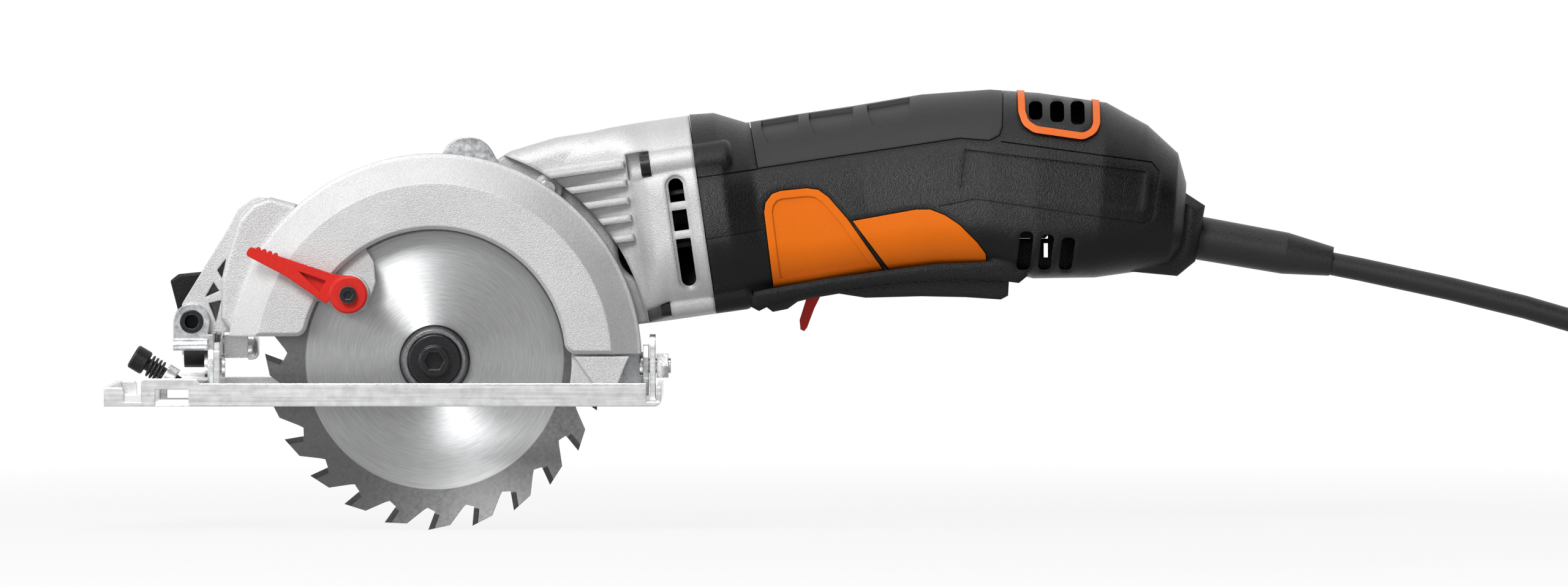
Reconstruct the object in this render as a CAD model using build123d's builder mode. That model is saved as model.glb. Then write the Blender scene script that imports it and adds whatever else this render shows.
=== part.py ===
from build123d import *
import os
from math import acos, atan2, ceil, cos, degrees, hypot, pi, radians, sin, sqrt, tan

# Compact corded circular saw with an in-line motor and a 115 mm blade.
# Millimetres. X runs to the rear, Y away from the blade side, Z up. The origin is on the sole,
# straight under the spindle, in the middle of the blade's thickness.

# Fits shared by all pieces
SEAT = 0.02  # radial gap between pieces that are fixed together
RUN = 0.06  # radial gap of a running fit
GAP = 0.4  # air between pieces that move past each other

# Blade
BLADE_DIAMETER = 115.0
BLADE_THICKNESS = 1.2
BLADE_BORE = 9.5
TOOTH_COUNT = 24
TOOTH_HEIGHT = 7.5
TOOTH_DROP = 1.4  # fall of the land behind the tip
TOOTH_LAND = 0.5  # share of the pitch that the land takes
TOOTH_HOOK = 18.0
TOOTH_FIRST = -92.2  # angle of the lowest tip
TIP_LENGTH = 6.0
TIP_DEPTH = 1.7
TIP_WIDTH = 1.8
MAX_CUT = 42.7

# Blade clamping
FLANGE_RADIUS = 12.0
FLANGE_THICKNESS = 3.6
BOLT_CAP_RADIUS = 9.3
BOLT_CAP_THICKNESS = 2.4
BOLT_BOSS_RADIUS = 5.2
BOLT_BOSS_HEIGHT = 3.0
BOLT_SOCKET = 6.0  # hexagon across flats
BOLT_SHANK_RADIUS = 3.0
BOLT_REACH = 12.0

# Spindle
NOSE_LENGTH = 1.4  # spindle nose in front of the blade
INNER_FLANGE_THICKNESS = 2.6
COLLAR_RADIUS = 6.4
COLLAR_LENGTH = 1.4
SPINDLE_RADIUS = 5.0
SPINDLE_TAIL_RADIUS = 4.0
BEARING_WIDTH = 6.0
BEARING_RADIUS = 11.0
TAIL_BEARING_RADIUS = 8.0

# Gear train
PRESSURE_ANGLE = 25.0
SPUR_MODULE = 1.0
SPINDLE_TEETH = 18
IDLER_TEETH = 22
COUNTER_TEETH = 16
BEVEL_MODULE = 0.8
PINION_TEETH = 9
BEVEL_TEETH = 45
BEVEL_FACE = 5.5
BACKLASH = 0.16
GEAR_NEAR_Y = 22.6
GEAR_WIDTH = 6.4
COUNTER_X = 8.0
COUNTER_RADIUS = 3.5
IDLER_PIN_RADIUS = 3.0
BEVEL_THICKNESS = 4.0
COUNTER_BEARING_RADIUS = 9.5

# Guards, measured from the blade's middle plane and the spindle axis
GUARD_RIM_RADIUS = 70.0
GUARD_FACE_RADIUS = 60.0
GUARD_WINDOW_RADIUS = 44.5
GUARD_WALL = 2.5
GUARD_NEAR_Y = -12.0
GUARD_SHOULDER_Y = -5.0
GUARD_FAR_Y = 10.5
GUARD_FRONT_Z = 8.3
GUARD_REAR_Z = 2.3
LOWER_RIM_RADIUS = 62.5
LOWER_WINDOW_RADIUS = 46.5
LOWER_WALL = 1.2
LOWER_NEAR_Y = -8.0
LOWER_FAR_Y = 6.5
LOWER_START = -13.0
LOWER_SPAN = 173.0
HUB_RADIUS = 13.4
LOWER_HUB_WIDTH = 5.0
LEVER_HUB = (-28.8, 22.5)
LEVER_TIP = (-62.6, 37.2)
LEVER_HUB_RADIUS = 6.4
LEVER_HUB_HEIGHT = 6.8
LEVER_THICKNESS = 4.6
LEVER_SCREW_RADIUS = 2.9

# Front arm and depth hinge
HINGE_X = -82.5
HINGE_Z = 13.0
KNUCKLE_RADIUS = 6.2
KNUCKLE_NEAR_Y = 6.0
ARM_FAR_Y = 18.0
PIN_RADIUS = 3.3
PIN_BORE_RADIUS = 2.4
SHEET = 2.0

# Depth quadrant, centred on the depth hinge
QUADRANT_RADIUS = 107.5
QUADRANT_WIDTH = 19.0
QUADRANT_NEAR_Y = 11.6
QUADRANT_TOP = 29.6
QUADRANT_FOOT = -7.0  # angle of the lower end
DEPTH_TRAVEL = 28.0
DEPTH_BOLT_ANGLE = -3.0
DEPTH_BOLT_RADIUS = 3.0

# Bevel hinge, along X
BEVEL_Y = 8.0
BEVEL_Z = -2.0  # above the spindle axis
BEVEL_BOLT_Y = 36.0
BEVEL_BOLT_Z = 4.0
BEVEL_BOLT_RADIUS = 3.0
BEVEL_TRAVEL = 45.0
PIVOT_RADIUS = 2.5
BRACKET_X = -77.0  # front face of the hinge bracket's plate
QUADRANT_X = -74.8  # front face of the upright bevel quadrant

# Base plate, from the sole up
BASE_SHEET = 1.6
BASE_FRONT_X = -110.5
BASE_REAR_X = 77.0
BASE_NEAR_Y = -35.0
BASE_FAR_Y = 63.0
BASE_FLANGE = 7.8
SLOT_FRONT_X = -66.0
SLOT_REAR_X = 66.0
SLOT_NEAR_Y = -23.0
SLOT_FAR_Y = 21.0
CHANNEL_FRONT_X = -98.0
CHANNEL_REAR_X = -78.4
CHANNEL_TOP = 9.4
CHANNEL_ROOF = 7.5
CHANNEL_WALL = 2.4
FENCE_WIDTH = 11.2
FENCE_HEIGHT = 5.2

# Motor line
MOTOR_Y = 30.0
MOTOR_TILT = 8.1
FLANGE_X = 90.6
FLANGE_Z = 49.0

# Values that follow from the driving dimensions
BLADE_RADIUS = BLADE_DIAMETER / 2
SPINDLE_Z = BLADE_RADIUS - MAX_CUT
BLADE_FACE = BLADE_THICKNESS / 2
MOTOR_DIR = (cos(radians(MOTOR_TILT)), 0, sin(radians(MOTOR_TILT)))
MOTOR_UP = (-sin(radians(MOTOR_TILT)), 0, cos(radians(MOTOR_TILT)))
COUNTER_Z = FLANGE_Z + (COUNTER_X - FLANGE_X) * tan(radians(MOTOR_TILT))
APEX_S = (COUNTER_X - FLANGE_X) / cos(radians(MOTOR_TILT))
GEAR_FAR_Y = GEAR_NEAR_Y + GEAR_WIDTH
DEPTH_BOLT = (
    HINGE_X + QUADRANT_RADIUS * cos(radians(DEPTH_BOLT_ANGLE)),
    HINGE_Z + QUADRANT_RADIUS * sin(radians(DEPTH_BOLT_ANGLE)),
)

os.makedirs("parts", exist_ok=True)


def save(builder, name):
    """Label a finished piece and write it under its node's name."""
    builder.part.label = name
    export_step(builder.part, "parts/" + name + ".step")


def side(y):
    """Plane square to Y: local x is X, local y is the height above the spindle, facing the blade side."""
    return Plane(origin=(0, y, SPINDLE_Z), x_dir=(1, 0, 0), z_dir=(0, -1, 0))


def cross(x):
    """Plane square to X: local x is Y, local y is the height above the spindle, facing the rear."""
    return Plane(origin=(x, 0, SPINDLE_Z), x_dir=(0, 1, 0), z_dir=(1, 0, 0))


def motor_plane(s, across=0.0, up=0.0):
    """Plane square to the motor axis, s behind the gear housing's joint face."""
    return Plane(
        origin=(
            FLANGE_X + s * MOTOR_DIR[0] + up * MOTOR_UP[0],
            MOTOR_Y + across,
            SPINDLE_Z + FLANGE_Z + s * MOTOR_DIR[2] + up * MOTOR_UP[2],
        ),
        x_dir=(0, 1, 0),
        z_dir=MOTOR_DIR,
    )


def motor_side(y):
    """Plane square to Y at y, with local x along the motor axis and local y across it."""
    return Plane(origin=(FLANGE_X, y, SPINDLE_Z + FLANGE_Z), x_dir=MOTOR_DIR, z_dir=(0, -1, 0))


def polar(radius, angle):
    """Point at a radius and an angle in degrees."""
    return (radius * cos(radians(angle)), radius * sin(radians(angle)))


def slab(points, near, far, mode=Mode.ADD, corner=0.0):
    """Straight-sided plate over a polygon seen from the side, with sharp or rounded corners."""
    with BuildSketch(side(far)) as outline:
        Polygon(*points, align=None)
        if corner:
            fillet(outline.vertices(), corner)
    extrude(outline.sketch, amount=far - near, mode=mode)


def rod_y(center, radius, near, far, mode=Mode.ADD):
    """Round bar or hole along Y."""
    with BuildSketch(side(far)) as outline:
        with Locations(center):
            Circle(radius)
    extrude(outline.sketch, amount=far - near, mode=mode)


def rod_x(center, radius, front, rear, mode=Mode.ADD):
    """Round bar or hole along X, at (y, height above the spindle)."""
    with BuildSketch(cross(front)) as outline:
        with Locations(center):
            Circle(radius)
    extrude(outline.sketch, amount=rear - front, mode=mode)


def rod_s(radius, front, rear, across=0.0, up=0.0, mode=Mode.ADD):
    """Round bar or hole along the motor axis."""
    with BuildSketch(motor_plane(front, across, up)) as outline:
        Circle(radius)
    extrude(outline.sketch, amount=rear - front, mode=mode)


def turn_y(profile, center=(0, 0), mode=Mode.ADD):
    """Turned shape on an axis along Y, from (y, radius) points."""
    x, z = center
    with BuildSketch(Plane(origin=(x, 0, SPINDLE_Z + z), x_dir=(0, 1, 0), z_dir=(1, 0, 0))) as outline:
        Polygon(*profile, align=None)
    revolve(outline.sketch, axis=Axis((x, 0, SPINDLE_Z + z), (0, 1, 0)), mode=mode)


def turn_s(profile, mode=Mode.ADD):
    """Turned shape on the motor axis, from (s, radius) points."""
    with BuildSketch(motor_side(MOTOR_Y)) as outline:
        Polygon(*profile, align=None)
    revolve(outline.sketch, axis=Axis((FLANGE_X, MOTOR_Y, SPINDLE_Z + FLANGE_Z), MOTOR_DIR), mode=mode)


def step_profile(*steps):
    """Profile of a stepped shaft from (start, end, radius) steps in order."""
    points = [(steps[0][0], 0)]
    for start, end, radius in steps:
        points += [(start, radius), (end, radius)]
    return points + [(steps[-1][1], 0)]


def ring_profile(start, end, inner, outer):
    """Profile of a plain ring."""
    return [(start, inner), (end, inner), (end, outer), (start, outer)]


# Saw blade: a steel plate with gullets, and carbide tips in seats on the tooth faces

PITCH = 360 / TOOTH_COUNT
FACE_IN = (-cos(radians(TOOTH_HOOK)), sin(radians(TOOTH_HOOK)))
FACE_BACK = (sin(radians(TOOTH_HOOK)), cos(radians(TOOTH_HOOK)))
HEEL = polar(BLADE_RADIUS - TOOTH_DROP, PITCH * TOOTH_LAND)
LAND_LENGTH = hypot(HEEL[0] - BLADE_RADIUS, HEEL[1])
LAND_DIR = ((HEEL[0] - BLADE_RADIUS) / LAND_LENGTH, HEEL[1] / LAND_LENGTH)
LAND_SHARE = TIP_DEPTH / (LAND_DIR[0] * FACE_BACK[0] + LAND_DIR[1] * FACE_BACK[1])
GULLET_RADIUS = 1.9


def tip_outline():
    """Outline of one carbide tip on a tooth at angle zero."""
    inner = (BLADE_RADIUS + TIP_LENGTH * FACE_IN[0], TIP_LENGTH * FACE_IN[1])
    return [
        (BLADE_RADIUS, 0),
        inner,
        (inner[0] + TIP_DEPTH * FACE_BACK[0], inner[1] + TIP_DEPTH * FACE_BACK[1]),
        (BLADE_RADIUS + LAND_SHARE * LAND_DIR[0], LAND_SHARE * LAND_DIR[1]),
    ]


def gullet_outline():
    """What is cut away between a tooth at angle zero and the next tooth's face."""
    root = BLADE_RADIUS - TOOTH_HEIGHT
    face_end = TIP_LENGTH + BLADE_THICKNESS / 2
    next_face = (BLADE_RADIUS + face_end * FACE_IN[0], face_end * FACE_IN[1])
    turned = polar(hypot(*next_face), PITCH + degrees(atan2(next_face[1], next_face[0])))
    return [
        (BLADE_RADIUS, 0),
        HEEL,
        polar(root + GULLET_RADIUS / 2, PITCH * 0.86),
        polar(root, PITCH * 0.96),
        turned,
        polar(BLADE_RADIUS, PITCH),
        polar(BLADE_RADIUS + TOOTH_HEIGHT, PITCH),
        polar(BLADE_RADIUS + TOOTH_HEIGHT, 0),
    ]


with BuildPart() as saw_blade:
    with BuildSketch(side(BLADE_FACE)):
        Circle(BLADE_RADIUS)
        Circle(BLADE_BORE / 2, mode=Mode.SUBTRACT)
        with PolarLocations(0, TOOTH_COUNT, start_angle=TOOTH_FIRST):
            Polygon(*gullet_outline(), align=None, mode=Mode.SUBTRACT)
            Polygon(*tip_outline(), align=None, mode=Mode.SUBTRACT)
    extrude(amount=BLADE_THICKNESS)
save(saw_blade, "saw_blade")

with BuildPart() as carbide_tips:
    with BuildSketch(side(TIP_WIDTH / 2)):
        with PolarLocations(0, TOOTH_COUNT, start_angle=TOOTH_FIRST):
            Polygon(*tip_outline(), align=None)
    extrude(amount=TIP_WIDTH)
save(carbide_tips, "carbide_tips")

# Blade clamping: the inner flange carries the blade, the outer flange and the bolt clamp it

INNER_FLANGE_END = BLADE_FACE + INNER_FLANGE_THICKNESS
OUTER_FLANGE_FACE = -BLADE_FACE - FLANGE_THICKNESS
NOSE_END = -BLADE_FACE - NOSE_LENGTH
CAP_FACE = OUTER_FLANGE_FACE - BOLT_CAP_THICKNESS
FLANGE_EDGE = 0.8

with BuildPart() as inner_flange:
    turn_y(ring_profile(BLADE_FACE, INNER_FLANGE_END, BLADE_BORE / 2 - SEAT, FLANGE_RADIUS))
    chamfer(inner_flange.edges().filter_by(GeomType.CIRCLE).sort_by(SortBy.RADIUS)[-1], FLANGE_EDGE)
save(inner_flange, "inner_flange")

with BuildPart() as outer_flange:
    turn_y(
        [
            (-BLADE_FACE, BLADE_BORE / 2 + SEAT),
            (-BLADE_FACE, FLANGE_RADIUS),
            (OUTER_FLANGE_FACE + 2 * FLANGE_EDGE, FLANGE_RADIUS),
            (OUTER_FLANGE_FACE, FLANGE_RADIUS - 2 * FLANGE_EDGE),
            (OUTER_FLANGE_FACE, BOLT_SHANK_RADIUS + SEAT),
            (NOSE_END - SEAT, BOLT_SHANK_RADIUS + SEAT),
            (NOSE_END - SEAT, BLADE_BORE / 2 + SEAT),
        ]
    )
save(outer_flange, "outer_flange")

with BuildPart() as blade_bolt:
    turn_y(
        step_profile(
            (CAP_FACE - BOLT_BOSS_HEIGHT, CAP_FACE, BOLT_BOSS_RADIUS),
            (CAP_FACE, OUTER_FLANGE_FACE, BOLT_CAP_RADIUS),
            (OUTER_FLANGE_FACE, BOLT_REACH, BOLT_SHANK_RADIUS),
        )
    )
    with BuildSketch(side(CAP_FACE + BOLT_CAP_THICKNESS / 2)):
        RegularPolygon(BOLT_SOCKET / 2, 6, major_radius=False)
    extrude(amount=BOLT_BOSS_HEIGHT + BOLT_CAP_THICKNESS, mode=Mode.SUBTRACT)
    rim = blade_bolt.edges().filter_by(GeomType.CIRCLE).group_by(SortBy.RADIUS)[-1]
    chamfer(rim.sort_by(Axis.Y)[0], FLANGE_EDGE)
    boss_rim = blade_bolt.edges().filter_by(GeomType.CIRCLE).sort_by(Axis.Y)[0]
    chamfer(boss_rim, FLANGE_EDGE / 2)
save(blade_bolt, "blade_bolt")

# Gear case depth along Y, from the guard to the cover on the far side
CASE_NEAR_Y = QUADRANT_NEAR_Y + SHEET + 2 * GAP
CASE_WALL = 1.4
CASE_FAR_Y = 50.0
COVER_THICKNESS = 3.0
FRONT_BEARING_Y = INNER_FLANGE_END + COLLAR_LENGTH
COUNTER_BEARING_Y = CASE_NEAR_Y + CASE_WALL
TAIL_BEARING_Y = CASE_FAR_Y - BEARING_WIDTH - 1.0
SHAFT_END_Y = CASE_FAR_Y - 0.6

with BuildPart() as spindle:
    turn_y(
        step_profile(
            (NOSE_END, INNER_FLANGE_END, BLADE_BORE / 2 - 2 * SEAT),
            (INNER_FLANGE_END, FRONT_BEARING_Y, COLLAR_RADIUS),
            (FRONT_BEARING_Y, GEAR_FAR_Y, SPINDLE_RADIUS),
            (GEAR_FAR_Y, SHAFT_END_Y, SPINDLE_TAIL_RADIUS),
        )
    )
    rod_y((0, 0), BOLT_SHANK_RADIUS + SEAT, NOSE_END, BOLT_REACH + 1, mode=Mode.SUBTRACT)
save(spindle, "spindle")


# Gears: involute flanks from points on the true curve, thinned by the backlash

TAN_PRESSURE = tan(radians(PRESSURE_ANGLE))
INVOLUTE_PRESSURE = TAN_PRESSURE - radians(PRESSURE_ANGLE)
FLANK_POINTS = 4
ADDENDUM = 0.8
DEDENDUM = 1.1


def half_tooth(radius, pitch_radius, teeth, play):
    """Half angle of a tooth at a radius, in radians."""
    base = pitch_radius * cos(radians(PRESSURE_ANGLE))
    angle = acos(base / radius) if radius > base else 0.0
    return pi / (2 * teeth) + INVOLUTE_PRESSURE - (tan(angle) - angle) - play / (2 * pitch_radius)


def tooth_outline(teeth, module):
    """Outline of one spur tooth on the local x axis."""
    pitch_radius = teeth * module / 2
    inner = pitch_radius - DEDENDUM * module
    outer = pitch_radius + ADDENDUM * module
    base = pitch_radius * cos(radians(PRESSURE_ANGLE))
    low = max(base, inner)
    radii = [low + (outer - low) * i / (FLANK_POINTS - 1) for i in range(FLANK_POINTS)]
    flank = [(r, half_tooth(r, pitch_radius, teeth, BACKLASH)) for r in radii]
    flank = [(inner - module / 4, flank[0][1])] + flank
    left = [(r * cos(a), r * sin(a)) for r, a in flank]
    right = [(x, -y) for x, y in reversed(left)]
    return left + right


def spur_gear(center, teeth, module, phase, near, far, bore):
    """Straight-toothed gear on an axis along Y, with a tooth at the phase angle in degrees."""
    with BuildSketch(side(far)) as outline:
        with Locations(center):
            Circle(teeth * module / 2 - DEDENDUM * module)
        with Locations(Location(center)):
            with PolarLocations(0, teeth, start_angle=phase):
                Polygon(*tooth_outline(teeth, module), align=None)
        if bore > 0:
            with Locations(center):
                Circle(bore, mode=Mode.SUBTRACT)
    extrude(outline.sketch, amount=far - near)


def meshing_phase(center, teeth, phase, other, other_teeth):
    """Phase of the other gear, in degrees, so that its gap meets this gear's tooth."""
    line = degrees(atan2(other[1] - center[1], other[0] - center[0]))
    ahead = (line - phase) * teeth / 360
    return line + 180 - (0.5 - ahead) * 360 / other_teeth


# The idler sits beside the line from the spindle to the countershaft, at its two mesh distances
SPINDLE_MESH = (SPINDLE_TEETH + IDLER_TEETH) / 2 * SPUR_MODULE
COUNTER_MESH = (COUNTER_TEETH + IDLER_TEETH) / 2 * SPUR_MODULE
SHAFT_DISTANCE = hypot(COUNTER_X, COUNTER_Z)
IDLER_LEAN = acos(
    (SHAFT_DISTANCE**2 + SPINDLE_MESH**2 - COUNTER_MESH**2) / (2 * SHAFT_DISTANCE * SPINDLE_MESH)
)
IDLER_LINE = degrees(atan2(COUNTER_Z, COUNTER_X) - IDLER_LEAN)
IDLER = polar(SPINDLE_MESH, IDLER_LINE)
COUNTER = (COUNTER_X, COUNTER_Z)
COUNTER_PHASE = degrees(atan2(IDLER[1] - COUNTER_Z, IDLER[0] - COUNTER_X))
IDLER_PHASE = meshing_phase(COUNTER, COUNTER_TEETH, COUNTER_PHASE, IDLER, IDLER_TEETH)
SPINDLE_PHASE = meshing_phase(IDLER, IDLER_TEETH, IDLER_PHASE, (0, 0), SPINDLE_TEETH)

with BuildPart() as spindle_gear:
    spur_gear(
        (0, 0), SPINDLE_TEETH, SPUR_MODULE, SPINDLE_PHASE, GEAR_NEAR_Y, GEAR_FAR_Y, SPINDLE_RADIUS + SEAT
    )
save(spindle_gear, "spindle_gear")

with BuildPart() as idler_gear:
    spur_gear(
        IDLER, IDLER_TEETH, SPUR_MODULE, IDLER_PHASE, GEAR_NEAR_Y, GEAR_FAR_Y, IDLER_PIN_RADIUS + RUN
    )
save(idler_gear, "idler_gear")

# Bevel pair: the teeth taper to the point where the motor axis meets the countershaft

PINION_CONE = atan2(PINION_TEETH, BEVEL_TEETH)
BEVEL_CONE = pi / 2 - PINION_CONE
CONE_LENGTH = BEVEL_MODULE * hypot(PINION_TEETH, BEVEL_TEETH) / 2
CONE_SHARE = (CONE_LENGTH - BEVEL_FACE) / CONE_LENGTH


def bevel_tooth(teeth, cone):
    """One tooth on a cone with its point at the origin and its axis along +Z."""
    virtual = teeth * BEVEL_MODULE / 2 / cos(cone)
    count = teeth / cos(cone)
    base = virtual * cos(radians(PRESSURE_ANGLE))
    low = max(base, virtual - DEDENDUM * BEVEL_MODULE)
    high = virtual + ADDENDUM * BEVEL_MODULE
    radii = [low + (high - low) * i / (FLANK_POINTS - 1) for i in range(FLANK_POINTS)]
    flank = [(r, half_tooth(r, virtual, count, BACKLASH)) for r in radii]
    flank = [(virtual - (DEDENDUM + 0.3) * BEVEL_MODULE, flank[0][1])] + flank
    left = [(-r * sin(a), r * cos(a) - virtual) for r, a in flank]
    outline = left + [(-x, y) for x, y in reversed(left)]
    line = Vector(sin(cone), 0, cos(cone))
    with BuildPart() as tooth:
        for share in (1.0, CONE_SHARE):
            plane = Plane(origin=line * (CONE_LENGTH * share), x_dir=(0, 1, 0), z_dir=line * -1)
            with BuildSketch(plane):
                Polygon(*[(x * share, y * share) for x, y in outline], align=None)
        loft(ruled=True)
    return tooth.part


def root_point(cone, share):
    """Radius and distance from the point of the cone at the foot of the teeth."""
    foot = DEDENDUM * BEVEL_MODULE
    radius = CONE_LENGTH * sin(cone) - foot * cos(cone)
    along = CONE_LENGTH * cos(cone) + foot * sin(cone)
    return (radius * share, along * share)


BEVEL_BACK = root_point(BEVEL_CONE, 1.0)[1] + BEVEL_THICKNESS
bevel_gear_tooth = bevel_tooth(BEVEL_TEETH, BEVEL_CONE)
bevel_plane = Plane(
    origin=(COUNTER_X, MOTOR_Y, SPINDLE_Z + COUNTER_Z), x_dir=MOTOR_DIR, z_dir=(0, 1, 0)
)

with BuildPart(bevel_plane) as bevel_gear:
    small = root_point(BEVEL_CONE, CONE_SHARE)
    large = root_point(BEVEL_CONE, 1.0)
    with BuildSketch(Plane(bevel_plane.origin, x_dir=MOTOR_DIR, z_dir=MOTOR_UP)):
        Polygon(
            (COUNTER_RADIUS + SEAT, small[1]),
            small,
            large,
            (large[0], BEVEL_BACK),
            (COUNTER_RADIUS + SEAT, BEVEL_BACK),
            align=None,
        )
    revolve(axis=Axis(bevel_plane.origin, (0, 1, 0)))
    with PolarLocations(0, BEVEL_TEETH, start_angle=180 / BEVEL_TEETH):
        add(bevel_gear_tooth)
save(bevel_gear, "bevel_gear")

with BuildPart() as countershaft:
    turn_y(
        step_profile((COUNTER_BEARING_Y, SHAFT_END_Y, COUNTER_RADIUS)),
        COUNTER,
    )
    spur_gear(COUNTER, COUNTER_TEETH, SPUR_MODULE, COUNTER_PHASE, GEAR_NEAR_Y, GEAR_FAR_Y, 0)
save(countershaft, "countershaft")


def block(x0, x1, y0, y1, z0, z1, mode=Mode.ADD):
    """Straight box between two corners, with heights from the sole."""
    with Locations(((x0 + x1) / 2, (y0 + y1) / 2, (z0 + z1) / 2)):
        Box(x1 - x0, y1 - y0, z1 - z0, mode=mode)


def arc_slot(center, radius, start, end, width, plane, depth, mode=Mode.SUBTRACT):
    """Curved slot or bar with round ends, from a start to an end angle."""
    with BuildSketch(plane) as outline:
        SlotArc(Edge.make_circle(radius, Plane(center + (0,)), start, end), width)
    extrude(outline.sketch, amount=depth, mode=mode)


# Upper guard: a cast half ring with a flat face, a wide bevel and a rim, and the arm of the depth hinge

ARM_NEAR_Y = GUARD_FAR_Y - GUARD_WALL
ARM_ROUND = 3.0
ARM_OUTLINE = [
    (HINGE_X - 4.4, HINGE_Z + 4.4),
    (-70.2, 44.5),
    (-66.8, 51.0),
    (-61.0, 55.0),
    (-54.0, 54.4),
    (-44.0, 49.0),
    (-47.0, 20.0),
    (-55.0, GUARD_FRONT_Z + 1.0),
    (HINGE_X + 5.0, GUARD_FRONT_Z + 1.0),
]
SHOULDER_OUTLINE = [
    (-68.6, GUARD_FRONT_Z + 1.0),
    (-72.4, 14.0),
    (-72.3, 27.0),
    (-70.4, 35.0),
    (-66.6, 47.5),
    (-61.8, 53.0),
    (-56.0, 55.0),
    (-47.0, 52.6),
    (-50.2, 45.4),
    (-62.2, 30.2),
    (-66.8, 15.0),
]
SHOULDER_NEAR_Y = -1.0
ARM_POCKETS = [
    [(-71.0, 34.3), (-74.0, 30.4), (-72.2, 27.2)],
    [(-75.2, 26.3), (-73.3, 23.4), (-78.0, 21.3)],
    [(-76.9, 19.2), (-72.6, 20.2), (-74.4, 12.7)],
]
ARM_POCKET_FLOOR = 1.2
WINDOW_CORNER = 4.0
WINDOW_BEVEL = 1.2
CUT_OFF = 2 * GUARD_RIM_RADIUS
HUB_FRONT_Y = INNER_FLANGE_END + GAP

with BuildPart() as front_arm:
    with BuildSketch(side(ARM_FAR_Y)) as arm_outline:
        Polygon(*ARM_OUTLINE, align=None)
        fillet(arm_outline.vertices(), ARM_ROUND)
    extrude(amount=ARM_FAR_Y - ARM_NEAR_Y)
    for pocket in ARM_POCKETS:
        slab(pocket, ARM_NEAR_Y, ARM_FAR_Y - ARM_POCKET_FLOOR, mode=Mode.SUBTRACT)
    with BuildSketch(side(ARM_FAR_Y)) as shoulder_outline:
        Polygon(*SHOULDER_OUTLINE, align=None)
    extrude(amount=ARM_FAR_Y - SHOULDER_NEAR_Y)
    near_edges = front_arm.edges().filter_by_position(Axis.Y, SHOULDER_NEAR_Y - 0.01, SHOULDER_NEAR_Y + 0.01)
    fillet([e for e in near_edges if hypot(e.center().X, e.center().Z - SPINDLE_Z) > GUARD_RIM_RADIUS], 1.6)
    rod_y((HINGE_X, HINGE_Z), KNUCKLE_RADIUS, KNUCKLE_NEAR_Y, ARM_FAR_Y)

GUARD_INNER_RIM = GUARD_RIM_RADIUS - GUARD_WALL

with BuildPart() as upper_guard:
    turn_y(
        [
            (GUARD_NEAR_Y, GUARD_WINDOW_RADIUS),
            (GUARD_NEAR_Y, GUARD_FACE_RADIUS),
            (GUARD_SHOULDER_Y, GUARD_RIM_RADIUS - 1.2),
            (GUARD_SHOULDER_Y + 0.4, GUARD_RIM_RADIUS),
            (GUARD_FAR_Y, GUARD_RIM_RADIUS),
            (GUARD_FAR_Y, HUB_RADIUS + SEAT),
            (ARM_NEAR_Y, HUB_RADIUS + SEAT),
            (ARM_NEAR_Y, GUARD_INNER_RIM),
            (GUARD_SHOULDER_Y + GUARD_WALL / 2, GUARD_INNER_RIM),
            (GUARD_NEAR_Y + GUARD_WALL, GUARD_FACE_RADIUS - GUARD_WALL / 3),
            (GUARD_NEAR_Y + GUARD_WALL, GUARD_WINDOW_RADIUS),
        ]
    )
    for end, height in ((-CUT_OFF, GUARD_FRONT_Z), (CUT_OFF, GUARD_REAR_Z)):
        low, high = min(end, 0), max(end, 0)
        slab(
            [(low, -CUT_OFF), (high, -CUT_OFF), (high, height), (low, height)],
            GUARD_NEAR_Y - GAP,
            GUARD_FAR_Y + GAP,
            mode=Mode.SUBTRACT,
        )
    window_corners = [
        e
        for e in upper_guard.edges().filter_by(Axis.Y)
        if e.center().Y < GUARD_NEAR_Y + GUARD_WALL
        and hypot(e.center().X, e.center().Z - SPINDLE_Z) < GUARD_WINDOW_RADIUS + 1
    ]
    fillet(window_corners, WINDOW_CORNER)
    face_edges = upper_guard.faces().sort_by(Axis.Y)[0].edges()
    inner_edges = [
        e for e in face_edges if hypot((e @ 0.5).X, (e @ 0.5).Z - SPINDLE_Z) < GUARD_FACE_RADIUS - 1
    ]
    chamfer(inner_edges, WINDOW_BEVEL)
    add(front_arm.part)
    rod_y((HINGE_X, HINGE_Z), PIN_RADIUS + RUN, KNUCKLE_NEAR_Y - 1, ARM_FAR_Y + 1, mode=Mode.SUBTRACT)
    rod_y(DEPTH_BOLT, DEPTH_BOLT_RADIUS + SEAT, ARM_NEAR_Y - 1, GUARD_FAR_Y + 1, mode=Mode.SUBTRACT)

# Lower guard: a thin rolled shell that swings inside the upper guard on the gear housing's hub

LIP_NEAR_Y = LOWER_NEAR_Y - 2.6
LIP_OUTLINE = [
    (47.4, GUARD_REAR_Z - 0.8),
    (66.0, GUARD_REAR_Z - 0.8),
    (64.6, -1.4),
    (62.0, -8.0),
    (60.4, -13.4),
    (57.4, -13.2),
    (52.6, -6.0),
    (49.4, -1.6),
]
TAB_OUTLINE = [
    polar(LOWER_WINDOW_RADIUS + 3, 121),
    polar(LOWER_WINDOW_RADIUS + 3, 158),
    (-37.5, 20.5),
    (-30.5, 14.6),
    (-23.0, 17.4),
    (-19.8, 26.5),
    (-20.4, 33.4),
]
LEVER_FACE_Y = GUARD_NEAR_Y - GAP
LEVER_BOSS_RADIUS = LEVER_HUB_RADIUS + 0.5
LEVER_SCREW_SHANK = 1.7
SCREW_HEAD_HEIGHT = 2.2
LEVER_OUTLINE = [
    (LEVER_TIP[0] + 0.6, LEVER_TIP[1] + 1.5),
    (LEVER_TIP[0] - 1.0, LEVER_TIP[1] - 1.3),
    (-50.0, 28.8),
    (LEVER_HUB[0] - 7.6, LEVER_HUB[1] - 3.0),
    (LEVER_HUB[0] + 1.8, LEVER_HUB[1] + 6.1),
    (LEVER_HUB[0] - 5.4, LEVER_HUB[1] + 7.0),
]
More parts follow.
